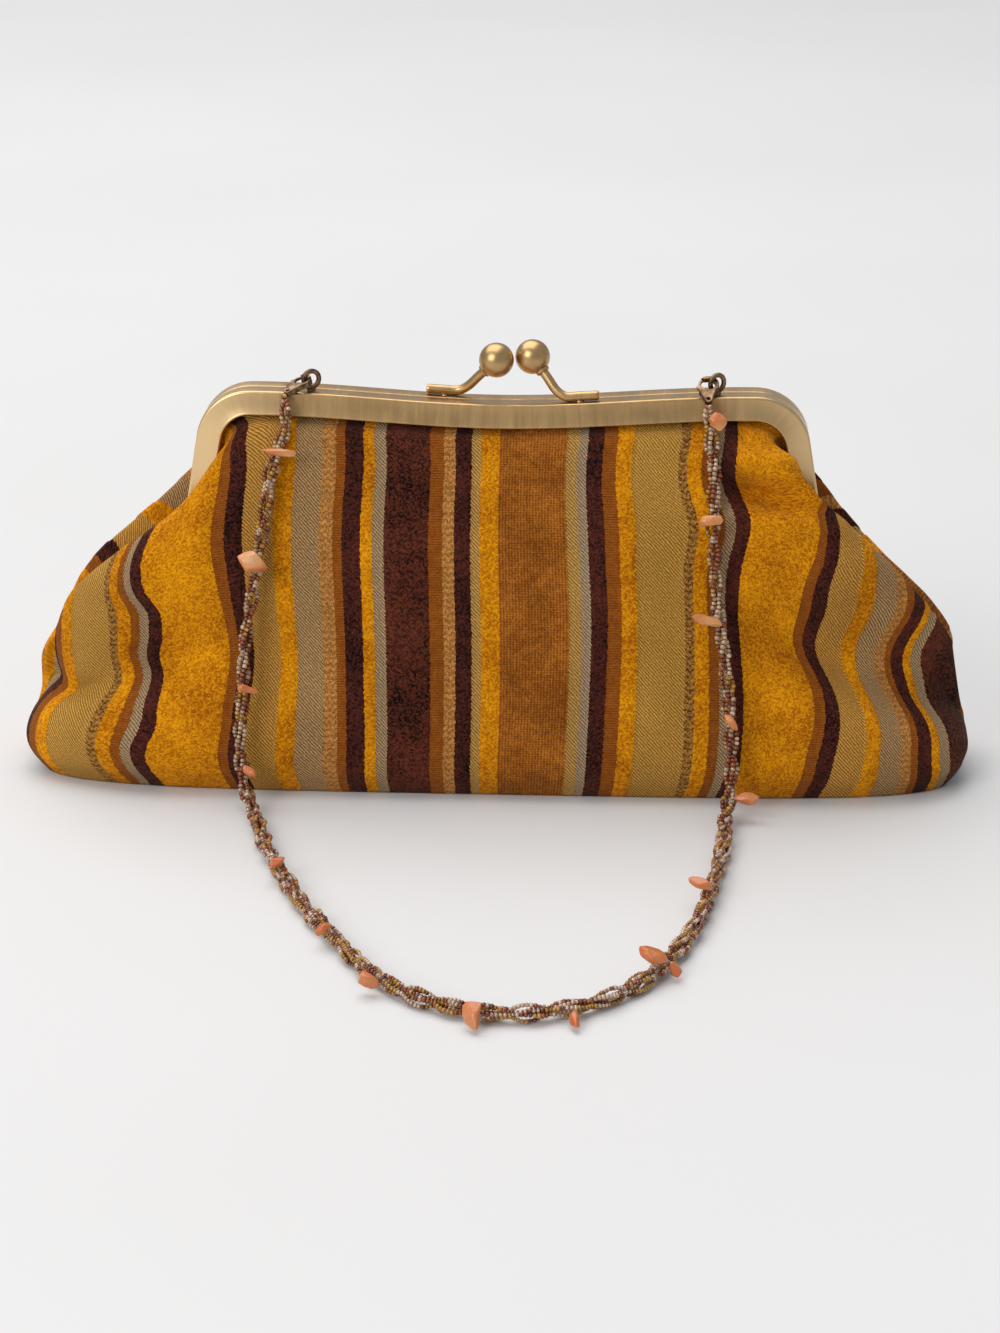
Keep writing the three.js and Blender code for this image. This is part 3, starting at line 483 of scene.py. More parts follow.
# Folds: middle x and z, slope in degrees, half length, half width, push outwards and shift sideways
FOLDS = {
    "front": [
        (113, 47, -24, 30, 11, -7.5, -7),
        (140, 37, -24, 14, 8, -2.5, 0),
        (108, 74, -30, 26, 10, 4.5, 1.5),
        (112, 22, -8, 24, 9, 3.4, 0),
        (81, 97.5, -18, 9.5, 4.2, -8, -1),
        (80, 107, -8, 14, 5, 6, 0),
        (86, 89.5, -8, 17, 3.6, 4, 1),
        (150, 27, -10, 12, 5, 0, -3),
        (148, 41, -10, 16, 9, 0, 3),
        (138, 33, -6, 8, 4, -1.6, 0),
        (-114, 41, 10, 24, 12, -6.2, 5),
        (-114, 17, 0, 24, 8, 2.8, -1.5),
        (-142, 32, 20, 20, 7, -4, 0),
        (-108, 72, 30, 24, 11, 4.2, -3),
        (-141, 31, 12, 11, 3, -4, 0),
        (-80, 42, 4, 22, 15, -1, 1.5),
        (15, 32, 4, 70, 16, -1, 0),
    ],
    "back": [
        (150, 27, -10, 12, 5, 0, -3),
        (148, 41, -10, 16, 9, 0, 3),
        (134, 38, -18, 26, 9, -3.5, -4),
        (-150, 34, 10, 14, 10, 4, 0),
        (-122, 46, 16, 24, 10, -4, 4),
        (-20, 42, -8, 70, 14, -1.8, 0),
    ],
}
# How the stripes drift along the front: middle x and z, half length, half width, and the slide to the left
DRIFTS = [
    (72, 104, 30, 9, 1.4),
    (72, 87, 28, 9, -2.8),
    (105, 99, 16, 8, -14),
    (-88, 118, 8, 9, 9),
    (-73, 118, 5, 9, -4),
    (40, 62, 28, 28, -1.8),
    (105, 86, 18, 12, -1),
    (98, 54, 12, 10, -1.5),
    (136, 44, 16, 14, 12),
    (98, 30, 16, 9, -1.7),
    (138, 16, 16, 16, 8),
    (147, 22, 6, 30, 2.5),
    (76, 70, 12, 70, -1.5),
    (104, 92, 14, 4, 3.6),
    (115, 70, 22, 9, 3),
    (104, 41, 12, 8, -1.8),
    (-112, 57, 17, 5, -2.4),
    (-112, 41, 17, 6, 4),
    (-108, 22, 18, 6, -3.2),
    (-55, 82, 35, 20, 1.2),
    (-50, 18, 30, 16, -1.4),
]
DRIFT_LOW, DRIFT_HIGH = (25, 3.6), (100, 6.2)
DRIFT_FADE = 16
DRIFT_START = 3
# One repeat of the stripes, from the left: dye, weave and width
STRIPES = [
    ("yellow", "pile", 21.3),
    ("rust", "rib", 4.2),
    ("maroon", "pile", 4.8),
    ("tan", "twill", 9.7),
    ("yellow", "pile", 5.8),
    ("taupe", "twill", 8.7),
    ("ochre", "zigzag", 4.2),
    ("rust", "rib", 3.5),
    ("maroon", "pile", 5.2),
    ("yellow", "pile", 4.2),
    ("beige", "twill", 3.2),
    ("oxblood", "pile", 14.5),
    ("rust", "rib", 3.9),
    ("ochre", "zigzag", 3.9),
    ("maroon", "pile", 4.8),
    ("khaki", "twill", 3.5),
    ("yellow", "pile", 5.2),
    ("amber", "velour", 21.3),
    ("khaki", "twill", 3.9),
    ("sand", "twill", 3.2),
    ("maroon", "pile", 4.8),
    ("rust", "rib", 4.2),
    ("yellow", "pile", 5.2),
    ("gold", "twill", 15.5),
    ("cinnamon", "zigzag", 2.9),
    ("yellow", "pile", 4.8),
    ("rust", "rib", 2.9),
    ("beige", "twill", 2.6),
    ("maroon", "pile", 4.8),
]
# Each dye as it looks in the depth of the weave and on its high threads
DYES = {
    "yellow": (shade(154, 82, 2), shade(224, 150, 10)),
    "rust": (shade(112, 54, 8), shade(158, 90, 26)),
    "maroon": (shade(14, 5, 5), shade(86, 39, 29)),
    "oxblood": (shade(8, 3, 3), shade(99, 47, 31)),
    "tan": (shade(130, 86, 26), shade(208, 154, 72)),
    "gold": (shade(132, 92, 26), shade(204, 154, 72)),
    "khaki": (shade(128, 92, 38), shade(202, 156, 84)),
    "taupe": (shade(108, 80, 46), shade(190, 150, 102)),
    "beige": (shade(112, 88, 60), shade(180, 150, 114)),
    "sand": (shade(112, 90, 66), shade(178, 152, 122)),
    "ochre": (shade(128, 82, 34), shade(206, 142, 74)),
    "amber": (shade(114, 60, 10), shade(180, 108, 36)),
    "cinnamon": (shade(74, 38, 14), shade(184, 132, 58)),
}
WEAVE_HEIGHT = {"pile": 0.4, "velour": 0.3, "rib": 0.2, "zigzag": 0.12, "twill": 0}
FRAY = 1.6
TUFTS_PER_MM = 1.9
TWILL_SLOPE, TWILL_PITCH = 1.07, 1.17
STROKE_PITCH = 2.1
STROKE_REACH = 1.1
RIB_PITCH = 0.8
VELOUR_PITCH = 0.95
FIRST_STRIPE = -105.9
BACK_SHIFT = 62
BASE_SHIFT = 24
RAMP_STEPS = 255
EDGE_SOFTNESS = 0.35
COLUMN_STEP = 1.7
ROWS = (2, 4, 10, 32, 20, 12)
INNER_ROW_SKIP = 3
BASE_HOLD = 12
BASE_CRUSH = 30
SIDE_CRUSH = 2
SIDE_TAPER, SIDE_THIN = 24, 0.25
ON_SEAM = 1e-6
BASE_ROWS = 10
PLAIN_COLUMNS = 700
GIRTH_POINTS = 3001
repeat = sum(width for _, _, width in STRIPES)
stripe_ends = np.cumsum([width for _, _, width in STRIPES]) / repeat
stripe_ends = np.ceil(stripe_ends * RAMP_STEPS) / RAMP_STEPS * repeat
stripe_starts = np.concatenate([[0], stripe_ends[:-1]])


def cloth_finish():
    """The striped cloth: dyes by the stripe chart, and the grain of pile, velour, twill, rib and zigzag."""
    material, tree, surface = new_finish("striped_cloth")
    place = put(tree, "ShaderNodeUVMap", uv_map="finish").outputs["UV"]
    spot = put(tree, "ShaderNodeVectorMath", {0: place, "Scale": 1 / MM}, operation="SCALE").outputs[0]
    axes = put(tree, "ShaderNodeSeparateXYZ", {0: spot})
    across, up = axes.outputs[0], axes.outputs[1]

    def grain(scale, detail, rough=0.5, stretch=(1, 1, 1)):
        return clouded(tree, stretched(tree, spot, stretch), scale, detail, rough)

    def total(*shares):
        """A sum of sockets, each times its own share."""
        whole = 0
        for value, share in shares:
            whole = calc(tree, "MULTIPLY_ADD", value, share, whole)
        return whole

    def wave(phase):
        return calc(tree, "SINE", calc(tree, "MULTIPLY", phase, 2 * math.pi))

    fray = calc(tree, "MULTIPLY", calc(tree, "SUBTRACT", grain(0.9, 3, 0.7), 0.5), FRAY)
    from_first = calc(tree, "SUBTRACT", calc(tree, "ADD", across, fray), FIRST_STRIPE)
    share = calc(tree, "FRACT", calc(tree, "DIVIDE", from_first, repeat))

    def chart(colours):
        node = put(tree, "ShaderNodeValToRGB", {0: share})
        node.color_ramp.interpolation = "CONSTANT"
        stops = node.color_ramp.elements
        stops[1].position = stripe_starts[1] / repeat
        for start in stripe_starts[2:]:
            stops.new(start / repeat)
        for stop, colour in zip(stops, colours):
            stop.color = colour
        return node.outputs[0]

    deep, bright = (chart([DYES[name][k] for name, _, _ in STRIPES]) for k in (0, 1))
    marks = {"pile": (1, 0, 0, 1), "twill": (0, 1, 0, 1), "zigzag": (0, 0, 1, 1), "rib": (0, 0, 0, 1)}
    marks["velour"] = (1, 1, 1, 1)
    weave = put(tree, "ShaderNodeSeparateXYZ", {0: chart([marks[kind] for _, kind, _ in STRIPES])})
    is_velour = calc(tree, "MULTIPLY", weave.outputs[0], weave.outputs[1])
    is_pile, is_twill, is_zigzag = (calc(tree, "SUBTRACT", mark, is_velour) for mark in weave.outputs)
    known = total((is_velour, 1), (is_pile, 1), (is_twill, 1), (is_zigzag, 1))
    is_rib = calc(tree, "SUBTRACT", 1, known)

    speckle = grain(1.6, 3, 0.7)
    nap = grain(0.36, 3, 0.6)
    thread = grain(1.4, 2, 0.6)
    tufts = grain(1.4, 2, 0.6, (0.55, 1.5, 1))
    patches = grain(0.045, 3)
    sockets = {"Vector": spot, "Scale": TUFTS_PER_MM}
    tuft = put(tree, "ShaderNodeTexVoronoi", sockets, voronoi_dimensions="2D").outputs["Color"]
    fleck = put(tree, "ShaderNodeSeparateXYZ", {0: tuft}).outputs[0]
    pile = total((fleck, 0.5), (tufts, 0.24), (nap, 0.2), (patches, 0.7))
    pile = ranged(tree, pile, 0.53, 1.11, 0, 1)
    slant = calc(tree, "ADD", calc(tree, "MULTIPLY", across, TWILL_SLOPE), up)
    twill_line = wave(calc(tree, "DIVIDE", total((slant, 1), (grain(0.6, 2), 0.9)), TWILL_PITCH))
    twill = ranged(tree, total((twill_line, 0.3), (thread, 1.0)), 0.24, 0.76, 0, 1)
    bent = calc(tree, "PINGPONG", across, STROKE_REACH)
    stroke = total((up, 1), (bent, 0.9), (grain(1.1, 2, 0.7), 4.4))
    stroke = wave(calc(tree, "DIVIDE", stroke, STROKE_PITCH))
    zigzag = total((stroke, 0.15), (speckle, 0.8), (thread, 0.5), (nap, 0.3))
    zigzag = ranged(tree, zigzag, 0.58, 1.02, 0, 1)
    rib_line = wave(calc(tree, "DIVIDE", up, RIB_PITCH))
    rib = total((rib_line, 0.12), (speckle, 0.6), (fleck, 0.15), (nap, 0.4))
    rib = ranged(tree, rib, 0.38, 0.79, 0, 1)
    column_line = wave(calc(tree, "DIVIDE", total((across, 1), (grain(0.3, 1), 0.5)), VELOUR_PITCH))
    velour = total((column_line, 0.07), (rib_line, 0.05), (speckle, 0.4), (nap, 0.3))
    velour = total((velour, 1), (patches, 0.4), (fleck, 0.14))
    velour = ranged(tree, velour, 0.49, 0.77, 0, 1)
    tone = total((pile, is_pile), (twill, is_twill), (zigzag, is_zigzag))
    tone = total((tone, 1), (rib, is_rib), (velour, is_velour))
    dyed = mixed(tree, tone, deep, bright)
    worn = ranged(tree, patches, 0.3, 0.7, 0.9, 1.08)
    toned = put(tree, "ShaderNodeMix", {0: 1, 6: dyed, 7: worn}, data_type="RGBA", blend_type="MULTIPLY")
    rough = calc(tree, "SUBTRACT", 0.95, calc(tree, "MULTIPLY", is_twill, 0.2))
    join(tree, surface, {"Base Color": toned.outputs[2], "Roughness": rough, "Specular IOR Level": 0.1})
    join(tree, surface, {"Sheen Weight": 0.06, "Sheen Roughness": 0.45, "Sheen Tint": (1, 0.82, 0.55, 1)})
    engrave(tree, surface, tone, 0.7, 0.0004)
    return material


def outline_y(x, half_width, half_depth, power):
    """How far forward a rounded outline of the bag lies."""
    share = min(1, abs(x) / half_width)
    return -half_depth * (1 - share**power) ** (1 / power)


def held_top(place, at):
    """The slot, mouth and lip of a line of cloth that the frame holds."""
    x, z, out_x, out_z = frame_edge(place, at)
    middle = -CHANNEL_MIDDLE - CLOTH / 2
    drops = ((SLOT_DEPTH, middle), (MOUTH_DROP, middle), (LIP_DROP, -LIP_FORWARD))
    return [np.array([x - out_x * drop, y, z - out_z * drop]) for drop, y in drops]


def free_top(edge, shoulder):
    """The edge and lip of a line of cloth below the leg's end."""
    edge = np.array(edge, float)
    lip = np.array(FREE_LIP, float) if edge[1] else edge + (shoulder - edge) * SEWN_LIP
    return [edge, (edge + lip) / 2, lip]


def cloth_lines(panel, side):
    """The knots of each line of cloth from the middle to the side: top, shoulder, belly, hem and base."""
    shrink_x = (HEM_HALF_WIDTH - BASE_INSET) / HEM_HALF_WIDTH
    shrink_y = (HEM_HALF_DEPTH - BASE_INSET) / HEM_HALF_DEPTH
    lines = []
    for row in HELD_LINES + FREE_LINES:
        *hold, shoulder, left, right, (belly_x, belly_z), hem_x = row
        shoulder = np.array(shoulder, float)
        if side > 0:
            shoulder[2] -= right
        elif panel == "front":
            shoulder[2] -= left
        top = held_top(*hold) if len(hold) == 2 else free_top(*hold, shoulder)
        belly_y = outline_y(belly_x, BELLY_HALF_WIDTH, BELLY_HALF_DEPTH, BELLY_POWER) if shoulder[1] else 0
        hem_y = outline_y(hem_x, HEM_HALF_WIDTH, HEM_HALF_DEPTH, HEM_POWER)
        base = (hem_x * shrink_x, hem_y * shrink_y, 0)
        line = np.array([*top, shoulder, (belly_x, belly_y, belly_z), (hem_x, hem_y, HEM_Z), base])
        line[:, 0] *= side
        line[4:, 0] += (HEM_SHIFT / 2, HEM_SHIFT, HEM_SHIFT)
        lines.append(line)
    return lines


def fold_moves(panel, x, z):
    """How far the folds of a panel move the cloth outwards and sideways."""
    push, shift = np.zeros_like(x), np.zeros_like(x)
    for fold_x, fold_z, slope, length, width, out, aside in FOLDS[panel]:
        turn = math.radians(slope)
        along = (x - fold_x) * math.cos(turn) + (z - fold_z) * math.sin(turn)
        across = (z - fold_z) * math.cos(turn) - (x - fold_x) * math.sin(turn)
        share = np.exp(-((along / length) ** 2) - (across / width) ** 2)
        push += out * share
        shift += aside * share
    return push, shift


def weave_height(place):
    """How far the weave at each place across the stripes stands above the twill."""
    local = np.mod(place - FIRST_STRIPE, repeat)
    heights = np.array([WEAVE_HEIGHT[kind] for _, kind, _ in STRIPES])
    index = np.minimum(np.searchsorted(stripe_ends, local, side="right"), len(STRIPES) - 1)
    return heights[index]


stations = {}
for panel in ("front", "back"):
    stations[panel] = np.array(cloth_lines(panel, -1)[:0:-1] + cloth_lines(panel, 1))
spans = len(stations["front"]) - 1
fine = np.linspace(0, 1, GIRTH_POINTS)
girth = way_along(smooth_line(stations["front"][:, 4], fine)[:, :2])
girth -= np.interp(0.5, fine, girth)
repeats = np.arange(-2, 3)[:, None] * repeat
borders = (FIRST_STRIPE + repeats + stripe_starts[None]).ravel()
borders = np.concatenate([borders, borders - BACK_SHIFT])
marks = np.concatenate([borders - EDGE_SOFTNESS, borders + EDGE_SOFTNESS, girth[[0, -1]]])
marks = np.unique(marks[(marks >= girth[0]) & (marks <= girth[-1])])
stops = [marks[0]]
for mark in marks[1:]:
    steps = max(1, math.ceil((mark - stops[-1]) / COLUMN_STEP))
    stops += list(np.linspace(stops[-1], mark, steps + 1)[1:])
cloth_across = np.array(stops)
plain_across = np.linspace(girth[0], girth[-1], PLAIN_COLUMNS + 1)
column_at = np.interp(plain_across, girth, fine)
row_at = np.concatenate([[0]] + [(k + np.arange(1, n + 1) / n) / len(ROWS) for k, n in enumerate(ROWS)])


def stripe_drift(x, z):
    """How far to the left the stripes of the front have slid at each place."""
    rise = np.clip((z - DRIFT_LOW[0]) / (DRIFT_HIGH[0] - DRIFT_LOW[0]), 0, 1)
    drift = DRIFT_LOW[1] + (DRIFT_HIGH[1] - DRIFT_LOW[1]) * rise * rise * (3 - 2 * rise)
    for at_x, at_z, length, width, slide in DRIFTS:
        drift = drift + slide * np.exp(-(((x - at_x) / length) ** 2) - ((z - at_z) / width) ** 2)
    return drift


def grid_normals(grid, face):
    """Outward directions of a panel; straight out along the seams and at the two ends."""
    around = np.gradient(grid, axis=0)
    down = np.gradient(grid, axis=1)
    normals = np.cross(down, around) * face
    normals[np.abs(grid[..., 1]) < ON_SEAM, 1] = 0
    normals[[0, -1]] = 0
    normals[0, :, 0] = -1
    normals[-1, :, 0] = 1
    normals[[0, -1], -1, 2] = -1
    return normals / np.maximum(np.linalg.norm(normals, axis=2, keepdims=True), 1e-9)


def panel_grid(panel):
    """A panel's points and their places across the stripes: smooth lines, folds and the stripes' drift."""
    face = 1 if panel == "front" else -1
    rails = [smooth_line(rail, column_at) for rail in stations[panel].transpose(1, 0, 2)]
    rails = np.stack(rails, axis=1)
    grid = np.stack([smooth_line(knots, row_at) for knots in rails])
    sewn_share = SEWN_STATIONS / spans
    to_end = np.minimum(column_at, 1 - column_at)
    grid[[0, -1], :, 1] = 0
    grid[to_end <= sewn_share, 0, 1] = 0
    grid[:, -1, 2] = 0
    grid[..., 1] *= face
    lean = grid_normals(grid, face)
    column = 0.5 / spans
    held = np.clip((to_end - sewn_share) / column, 0, 1)[:, None]
    freed = np.clip(row_at * len(ROWS) - 2, 0, 1)[None]
    eased = freed * freed * (3 - 2 * freed)
    weight = (1 - held * (1 - eased)) * np.clip((1 - row_at) * BASE_HOLD, 0, 1)[None]
    shared = np.clip(2 - len(ROWS) * row_at, 0, 1)[None]
    shared = np.maximum(shared, np.clip(1 - to_end / column, 0, 1)[:, None])
    shared = shared * (1 - held) / 2
    own_push, own_shift = fold_moves(panel, grid[..., 0], grid[..., 2])
    other = "back" if panel == "front" else "front"
    other_push, other_shift = fold_moves(other, grid[..., 0], grid[..., 2])
    push = own_push * (1 - shared) + other_push * shared
    shift = own_shift * (1 - shared) + other_shift * shared
    grid = grid + lean * (push * weight)[..., None]
    grid[..., 0] += shift * weight
    chart = np.repeat(plain_across[:, None], len(row_at), axis=1)
    if panel == "front":
        slack = np.minimum(plain_across - plain_across[0], plain_across[-1] - plain_across) / DRIFT_FADE
        started = np.clip(row_at * DRIFT_START, 0, 1)[None]
        slack = np.clip(slack, 0, 1)[:, None] * (held + (1 - held) * started)
        drift = stripe_drift(grid[..., 0], grid[..., 2])
        slid = chart + drift * slack
        chart = chart + drift
    else:
        slid = chart
    sheet = np.concatenate([grid, chart[..., None]], axis=2)
    rows = range(len(row_at))
    followed = [[np.interp(cloth_across, slid[:, k], sheet[:, k, axis]) for axis in range(4)] for k in rows]
    followed = np.transpose(followed, (2, 0, 1))
    return followed[..., :3], followed[..., 3]


def turned_over(part):
    """A skin with its faces turned the other way."""
    corners = part["corners"]
    part["faces"] = [face[::-1] for face in part["faces"]]
    part["corners"] = [c for k in range(0, len(corners), 4) for c in corners[k:k + 4][::-1]]
    return part


def pouch_skins():
    """The outer and inner faces of both panels and the base, joined along the edges in the channels."""
    skins, hems = [], {}
    inner_rows = np.unique(np.append(np.arange(0, len(row_at), INNER_ROW_SKIP), len(row_at) - 1))
    for panel, shift in (("front", 0), ("back", BACK_SHIFT)):
        grid, place = panel_grid(panel)
        normals = grid_normals(grid, 1 if panel == "front" else -1)
        place = place + shift
        show = np.clip(row_at * len(ROWS) - 1, 0, 1) * np.clip((1 - row_at) * BASE_CRUSH, 0, 1)
        to_end = np.minimum(cloth_across - cloth_across[0], cloth_across[-1] - cloth_across)
        show = show[None] * np.clip(to_end / SIDE_CRUSH, 0, 1)[:, None]
        outer = grid + normals * (weave_height(place) * show)[..., None]
        thick = CLOTH * np.clip(to_end / SIDE_TAPER, SIDE_THIN, 1)
        inner = (grid - normals * thick[:, None, None])[:, inner_rows]
        inner[:, -1, 2] = thick
        sewn = np.abs(grid[:, 0, 1]) < ON_SEAM
        inner[sewn, 0] = grid[sewn, 0] - np.outer(thick[sewn], (0, 0, 1))
        lengths = np.linalg.norm(np.diff(grid, axis=1, append=grid[:, -1:]), axis=2)
        up = np.cumsum(lengths[:, ::-1], axis=1)[:, ::-1]
        spots = np.stack([place, up], axis=2)
        held = np.flatnonzero(~sewn)
        mouth = slice(held[0] - 1, held[-1] + 2)
        rim = np.stack([inner[mouth, 0], outer[mouth, 0]], axis=1)
        faces = [skin(outer, spots), skin(inner[:, ::-1], spots[:, inner_rows][:, ::-1])]
        faces.append(skin(rim, spots[mouth, :2]))
        skins += [turned_over(part) for part in faces] if panel == "front" else faces
        hems[panel] = (outer[:, -1], inner[:, -1])
    shares = np.linspace(0, 1, BASE_ROWS + 1)[None, :, None]
    for layer in (0, 1):
        front, back = hems["front"][layer][:, None], hems["back"][layer][:, None]
        sheet = front * (1 - shares) + back * shares
        place = np.broadcast_to((cloth_across + BASE_SHIFT)[:, None], sheet.shape[:2])
        spots = np.stack([place, -sheet[..., 1]], axis=2)
        skins.append(skin(sheet if layer else sheet[:, ::-1], spots if layer else spots[:, ::-1]))
    return skins


striped_cloth = cloth_finish()
pouch = made_piece("striped_pouch", pouch_skins(), striped_cloth, crease=70)
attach(pouch, "bag")
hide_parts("pouch")

# Loops and lobster clasps: small bronze castings, plated dark and rubbed bright on their high spots.
# A loop is riveted into the top of the bar, and a clasp with a sprung lever hooks the handle to it.
LOOP_RADIUS = 2.6
LOOP_WIRE = 0.8
LOOP_FOOT = 0.5
LOOP_SUNK = 0.6
LOOP_STEPS, WIRE_STEPS = 48, 16
LOOP_CHART = (16, 4)
LOOP_RIVET = [(0, 0), (1.4, 0), (1.5, 0.15), (1.3, 0.55), (1.05, 0.9), (0, 1)]
CLEARANCE = 0.3
LOOPS = {"left": {"x": -60.5, "turn": 30}, "right": {"x": 67.5, "turn": 35}}
CAST_GRAIN = 0.00011
CAST_SMOOTHING = 5
CAST_SKIN = 0.1


def bronze_finish():
    """Dark bronze plating, with brown clouds and brighter rubbed spots."""
    material, tree, surface = new_finish("dark_bronze")
    spot = put(tree, "ShaderNodeTexCoord").outputs["Object"]
    clouds = clouded(tree, spot, 420, 4)
    pits = clouded(tree, spot, 2600, 3)
    colour = mixed(tree, ranged(tree, clouds, 0.38, 0.64, 0, 1), shade(84, 64, 46), shade(150, 122, 92))
    rough = ranged(tree, pits, 0.3, 0.7, 0.24, 0.42)
    join(tree, surface, {"Base Color": colour, "Metallic": 1, "Roughness": rough})
    engrave(tree, surface, pits, 0.25, 0.00006)
    return material


def welded_copy(name, node):
    """A piece of its own with the welded mesh of a solid, bare of material."""
    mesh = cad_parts[node].data.copy()
    work = bmesh.new()
    work.from_mesh(mesh)
    bmesh.ops.remove_doubles(work, verts=work.verts, dist=WELD)
    work.to_mesh(mesh)
    work.free()
    mesh.materials.clear()
    return new_piece(name, mesh)


def plain_mesh(piece):
    """The piece's mesh with its modifiers worked in, and the modifiers taken off."""
    shown = piece.evaluated_get(bpy.context.evaluated_depsgraph_get())
    mesh = bpy.data.meshes.new_from_object(shown)
    piece.modifiers.clear()
    piece.data = mesh
    return mesh


def cast_copy(name, node, material):
    """A casting of a solid: its edges are rounded by a fine remesh and smoothing."""
    piece = welded_copy(name, node)
    grain = piece.modifiers.new("casting", "REMESH")
    grain.mode = "VOXEL"
    grain.voxel_size = CAST_GRAIN
    rounding = piece.modifiers.new("rounding", "SMOOTH")
    rounding.iterations = CAST_SMOOTHING
    plating = piece.modifiers.new("plating", "DISPLACE")
    plating.strength = CAST_SKIN * MM
    plating.mid_level = 0
    mesh = plain_mesh(piece)
    mesh.materials.append(material)
    all_smooth(mesh)
    return piece


dark_bronze = bronze_finish()
for side, row in LOOPS.items():
    foot = np.array([row["x"], -CHANNEL_MIDDLE, bar_top(row["x"]) + CLEARANCE])
    lift = foot[2] + LOOP_FOOT + LOOP_RADIUS + LOOP_WIRE * LOOP_SUNK
    turn = math.radians(row["turn"])
    turns = full_turn(LOOP_STEPS)
    wire = full_turn(WIRE_STEPS)
    reach = LOOP_RADIUS + LOOP_WIRE * np.cos(wire)[None]
    flat = reach * np.cos(turns)[:, None]
    points = np.stack([
        row["x"] + flat * math.cos(turn) - LOOP_WIRE * np.sin(wire)[None] * math.sin(turn),
        -CHANNEL_MIDDLE + flat * math.sin(turn) + LOOP_WIRE * np.sin(wire)[None] * math.cos(turn),
        lift + reach * np.sin(turns)[:, None],
    ], axis=2)
    points = np.concatenate([points, points[:1]])
    along = np.linspace(0, LOOP_CHART[0], LOOP_STEPS + 1)
    across = np.linspace(0, LOOP_CHART[1], WIRE_STEPS + 1)
    skins = [skin(points, chart_of(along, across), around=True)]
    skins += spun_skins(foot, (0, 0, 1), LOOP_RIVET, sides=24)
    loop = made_piece("bronze_loop_" + side, skins, dark_bronze)
    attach(loop, "bag")
    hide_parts("frame_loop_" + side)
    claw = cast_copy("lobster_claw_" + side, "clasp_body_" + side, dark_bronze)
    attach(claw, "bag")
    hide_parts("clasp_body_" + side)
    lever = cast_copy("sprung_lever_" + side, "clasp_lever_" + side, dark_bronze)
    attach(lever, "lever_" + side)
    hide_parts("clasp_lever_" + side)

# Bead rope: strings of glass seed beads that part and gather again, lantern after lantern, along the loop
# on the floor, and run close together up the front of the bag. The beads are amber, brown and clear.
ROPE_ROUTE = [
    (-68.4, -10.6, 125.5), (-68, -11.6, 122.4), (-68.4, -13.2, 114), (-72.3, -19.2, 102.8),
    (-75.2, -25.6, 82), (-78.2, -31.2, 64), (-80, -35.6, 48.5), (-81, -39.6, 33),
    (-81.4, -42.2, 17), (-80, -46, 7), (-75.4, -57, 3), (-69.3, -80.3, 2.65),
    (-60, -105.6, 2.65), (-51.4, -126, 2.65), (-41.7, -144, 2.65), (-33.5, -159.5, 2.65),
    (-26, -170, 2.65), (-17.5, -179, 2.65), (-5.5, -185.5, 2.65), (8, -189, 2.65),
    (20.5, -187.6, 2.65), (34.4, -181, 2.65), (45.8, -169, 2.65), (54, -154, 2.65),
    (59.4, -139, 2.65), (64, -121, 2.65), (68, -99.5, 2.65), (71, -76, 2.65),
    (72, -58, 3), (73.5, -47.4, 7), (73.8, -42.8, 15), (73.8, -40.8, 26),
    (72.6, -38.6, 38.5), (70.4, -34.6, 54), (68.2, -30, 69), (67, -25.2, 84),
    (67, -20.4, 98.7), (66.4, -15.4, 110), (65, -12.2, 121), (64.8, -11.9, 124.6),
]
ROPE_STEP = 0.4
# Stretches of the rope: shares of its length, outer and inner strings, bead size, radius of the strings
# at a pinch and at a bulge, length of a lantern, and the turn of the strings for each millimetre
STRETCHES = {
    "left_fall": {"share": (0, 0.25), "strings": 4, "core": 0, "bead": 1.65, "thin": 0.6, "thick": 2,
                  "lantern": 10.2, "twist": 0.12, "seed": 3},
    "loop": {"share": (0.24, 0.775), "strings": 6, "core": 2, "bead": 1.38, "thin": 0.85, "thick": 2.3,
             "lantern": 11.8, "twist": 0.06, "seed": 7},
    "right_fall": {"share": (0.765, 1), "strings": 4, "core": 0, "bead": 1.7, "thin": 0.65, "thick": 2,
                   "lantern": 9.4, "twist": 0.12, "seed": 11},
}
# A bead's colour goes by a drawn lot from 0 to 1: clear up to the first value, brown for the second more,
# and amber above them; run is how many beads in a row draw together
BEAD_MIX = {
    "fall": {"clear": 0.47, "brown": 0.26, "run": 2},
    "loop": {"clear": 0.4, "brown": 0.17, "run": 3},
}
BEAD_HUB, BEAD_WALL, BEAD_HEIGHT = 0.29, 0.23, 1.75
BEAD_PITCH = 0.86
BEAD_UNEVEN = (0.8, 1.14)
LOT_DRAWN, LOT_NEAR = 0.55, 0.45
LANTERN_SHAPE = 0.7
# How the lanterns' spacing wanders: size and length; how each string sways about the rope and comes
# nearer to it: size, length and how far the next string lags
LANTERN_WANDER = (0.6, 23)
STRING_SWAY = (0.35, 5, 1.7)
STRING_REACH = (0.14, 3.1, 2.3)
MEAN_REACH, CORE_REACH = 0.9, 0.3
ROPE_END, ROPE_END_TAPER = 0.25, 9
LATE_START = 5
ROUTE_POINTS = 4001


def bead_finish(name, deep, pale, metallic, rough, through):
    """Glass beads of one colour, a little different from bead to bead."""
    material, tree, surface = new_finish(name)
    spot = put(tree, "ShaderNodeTexCoord").outputs["Object"]
    change = clouded(tree, spot, 480, 2)
    colour = mixed(tree, ranged(tree, change, 0.36, 0.64, 0, 1), deep, pale)
    gloss = ranged(tree, change, 0.3, 0.7, rough, rough + 0.12)
    join(tree, surface, {"Base Color": colour, "Metallic": metallic, "Roughness": gloss})
    join(tree, surface, {"Transmission Weight": through, "Coat Weight": 0.6, "Coat Roughness": 0.08})
    return material


